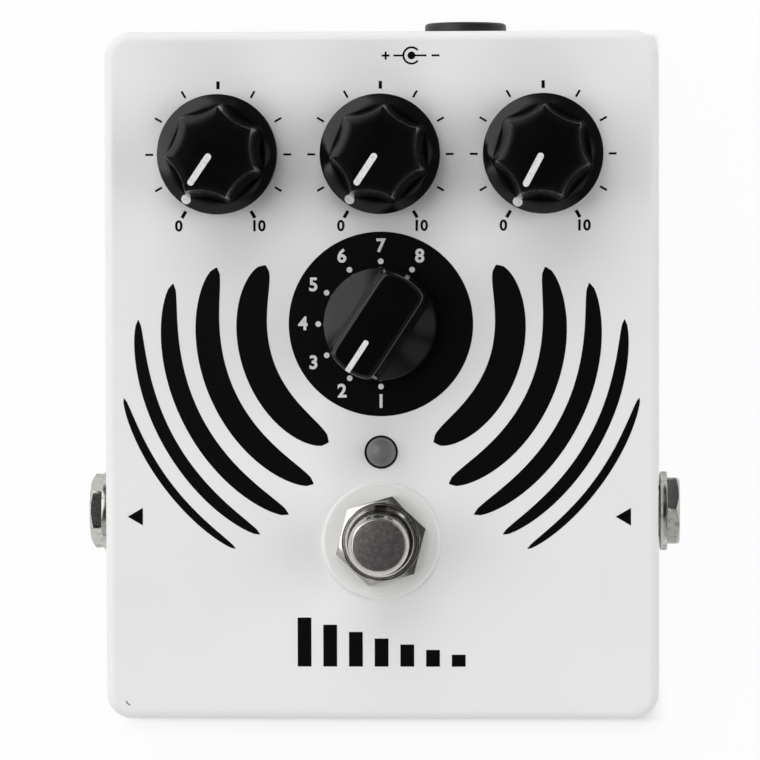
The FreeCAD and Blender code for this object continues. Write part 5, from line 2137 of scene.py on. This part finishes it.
@dataclass(frozen=True)
class FillLight:
    """A big soft lamp that shows in no reflection."""

    name: str
    heading: Heading
    level: float                # of a white sheet that faces it
    distance: float = 2.2       # metres
    size: float = 1.5

    def build(self) -> None:
        """Hangs the lamp so that it faces the object."""
        light = bpy.data.lights.new(self.name, "AREA")
        light.size = self.size
        light.energy = self.level * (math.pi * self.distance) ** 2
        lamp = bpy.data.objects.new(self.name, light)
        lamp.location = self.heading.vector() * self.distance
        lamp.rotation_euler = self.heading.vector().to_track_quat("Z", "Y").to_euler()
        lamp.visible_glossy = False
        bpy.context.scene.collection.objects.link(lamp)


@dataclass(frozen=True)
class PaleFloor(Finish):
    """A pale sheet that the camera sees as white, apart from painted shade placed before and under the
    object.
    """

    pale: Colour = (0.80, 0.80, 0.80)
    dusty: Colour = (0.82, 0.82, 0.82)
    whiteness: float = 0.95
    under_x: Pair = (47.5, 46.0)        # where the shade under the case starts and is full
    under_y: Pair = (59.0, 57.5)
    front_x: Pair = (49.0, 43.0)        # the same for the shade in front of it
    front_y: Pair = (-54.0, -58.0)
    wide_y: Pair = (-65.5, -60.5)       # and for that shade's two parts
    wide_shade: float = 0.2
    close_y: Pair = (-62.1, -60.9)
    close_shade: float = 0.5

    def write(self, shader: Shader) -> bpy.types.Material:
        """Writes the sheet.

        Args:
            shader: The new material's empty shader.

        Returns:
            The finished material.
        """
        pale = shader.mixed(shader.noise(300.0, 2.0), self.pale, self.dusty)
        diffuse = shader.node("ShaderNodeBsdfDiffuse", {}, {"Color": pale})
        lift = shader.node("ShaderNodeEmission", {}, {"Color": WHITE, "Strength": 1.0})
        # Painted shade: under the case and in strips before it, placed by position, the white lift is taken
        # off so that the diffuse floor's shade shows.
        x, y = shader.axis("X"), shader.axis("Y")
        across, along = x.absolute(), y.absolute()
        under = across.stepped_mm(*self.under_x) * along.stepped_mm(*self.under_y)
        in_front = y.stepped_mm(*self.front_y) * across.stepped_mm(*self.front_x)
        painted_shade = y.stepped_mm(*self.wide_y) * self.wide_shade + y.stepped_mm(*self.close_y) * self.close_shade
        seen = shader.node("ShaderNodeLightPath", output="Is Camera Ray")
        lifted = seen * (self.whiteness - painted_shade * in_front) * (1.0 - under * self.whiteness)
        shader.shown(shader.node("ShaderNodeMixShader", {}, {0: lifted, 1: diffuse, 2: lift}))
        return shader.owner


@dataclass
class Studio:
    """Pale floor, soft light all round with a dark ceiling over the camera, and the camera itself."""

    floor_r: float = 4.0        # metres
    camera_at: Place = (29.28, 21.56, 765.07)
    camera_deg: tuple[float, float, float] = (-1.75, 2.31, -0.13)
    lens_mm: float = 207.07
    sensor_mm: float = 36.0
    gloom: float = 0.06
    horizon: float = 0.42
    horizon_up: Pair = (0.26, 0.08)
    glows: tuple[Glow, ...] = (
        Glow(Heading(150, 51), 38, 31, 1.30),
        Glow(Heading(196, 58), 36, 14, 0.36),
        Glow(Heading(262, 56), 40, 14, 0.40),
        Glow(Heading(92, 42), 14, 7, 0.22),
        Glow(Heading(49, 65), 7, 4, 0.90),
        Glow(Heading(0, 26), 9, 5, 0.36),
        Glow(Heading(318, 26), 9, 5, 0.30),
    )
    ceiling_deg: Pair = (11.0, 20.0)
    fills: tuple[FillLight, ...] = (
        FillLight("right_fill", Heading(5, 60), 0.40),
        FillLight("back_fill", Heading(95, 56), 0.34),
        FillLight("front_fill", Heading(280, 62), 0.22),
        FillLight("left_fill", Heading(180, 62), 0.17),
    )

    def build(self) -> None:
        """Sets up the whole studio."""
        self.floor()
        self.surroundings()
        for fill in self.fills:
            fill.build()
        self.camera()

    def floor(self) -> None:
        """The floor that the object stands on."""
        sheet = Blank()
        bmesh.ops.create_circle(sheet.mesh, cap_ends=True, segments=96, radius=self.floor_r)
        floor = sheet.as_object("floor")
        floor.data.materials.append(PaleFloor("pale_floor").material())
        floor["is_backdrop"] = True

    def surroundings(self) -> None:
        """Dark walls with soft bright windows on the left, a pale horizon and a dark ceiling."""
        shader = Shader(bpy.data.worlds.new("studio"))
        bpy.context.scene.world = shader.owner
        towards = shader.node("ShaderNodeTexCoord", output="Generated")
        up = shader.axis("Z", towards)
        level = up.stepped(*self.horizon_up) * self.horizon + self.gloom
        for glow in self.glows:
            level = level + glow.seen(shader, towards)
        level = level * up.stepped(*(math.cos(math.radians(d)) for d in self.ceiling_deg))
        seen = shader.node("ShaderNodeLightPath", output="Is Camera Ray")
        strength = seen + level * (1.0 - seen)
        shader.shown(shader.node("ShaderNodeBackground", {}, {"Color": WHITE, "Strength": strength}))

    def camera(self) -> None:
        """The camera over the face, where the photograph was taken from."""
        data = bpy.data.cameras.new("camera")
        data.sensor_width = self.sensor_mm
        data.lens = self.lens_mm
        data.clip_start = 0.01
        data.clip_end = 50.0
        camera = bpy.data.objects.new("camera", data)
        camera.location = Vector(self.camera_at) * MM
        camera.rotation_euler = Euler([math.radians(d) for d in self.camera_deg], "XYZ")
        bpy.context.scene.collection.objects.link(camera)
        bpy.context.scene.camera = camera


def corners(bounds: tuple[Vector, Vector]) -> list[list[float]]:
    """A box as plain lists."""
    return [list(corner) for corner in bounds]


def main() -> None:
    """Builds the whole scene round the frame."""
    logging.basicConfig(level=logging.INFO, format="%(message)s")
    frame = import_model()
    cad_box = corners(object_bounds())
    Studio().build()
    Insides().dress(frame["nodes"])
    Case().build()
    FacePrint().build()
    DialKnob("time_knob", Body.TIME, 34.3).build()
    DialKnob("repeat_knob", Body.REPEAT, 33.5).build()
    DialKnob("mix_knob", Body.MIX, 27.8).build()
    SelectorKnob().build()
    StatusLamp().build()
    FootSwitch().build()
    AudioJacks().build()
    PowerSocket().build()
    bpy.context.scene.view_settings.view_transform = "Standard"
    {"cad": cad_box, "visual": corners(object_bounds())}


if __name__ == "__main__":
    main()
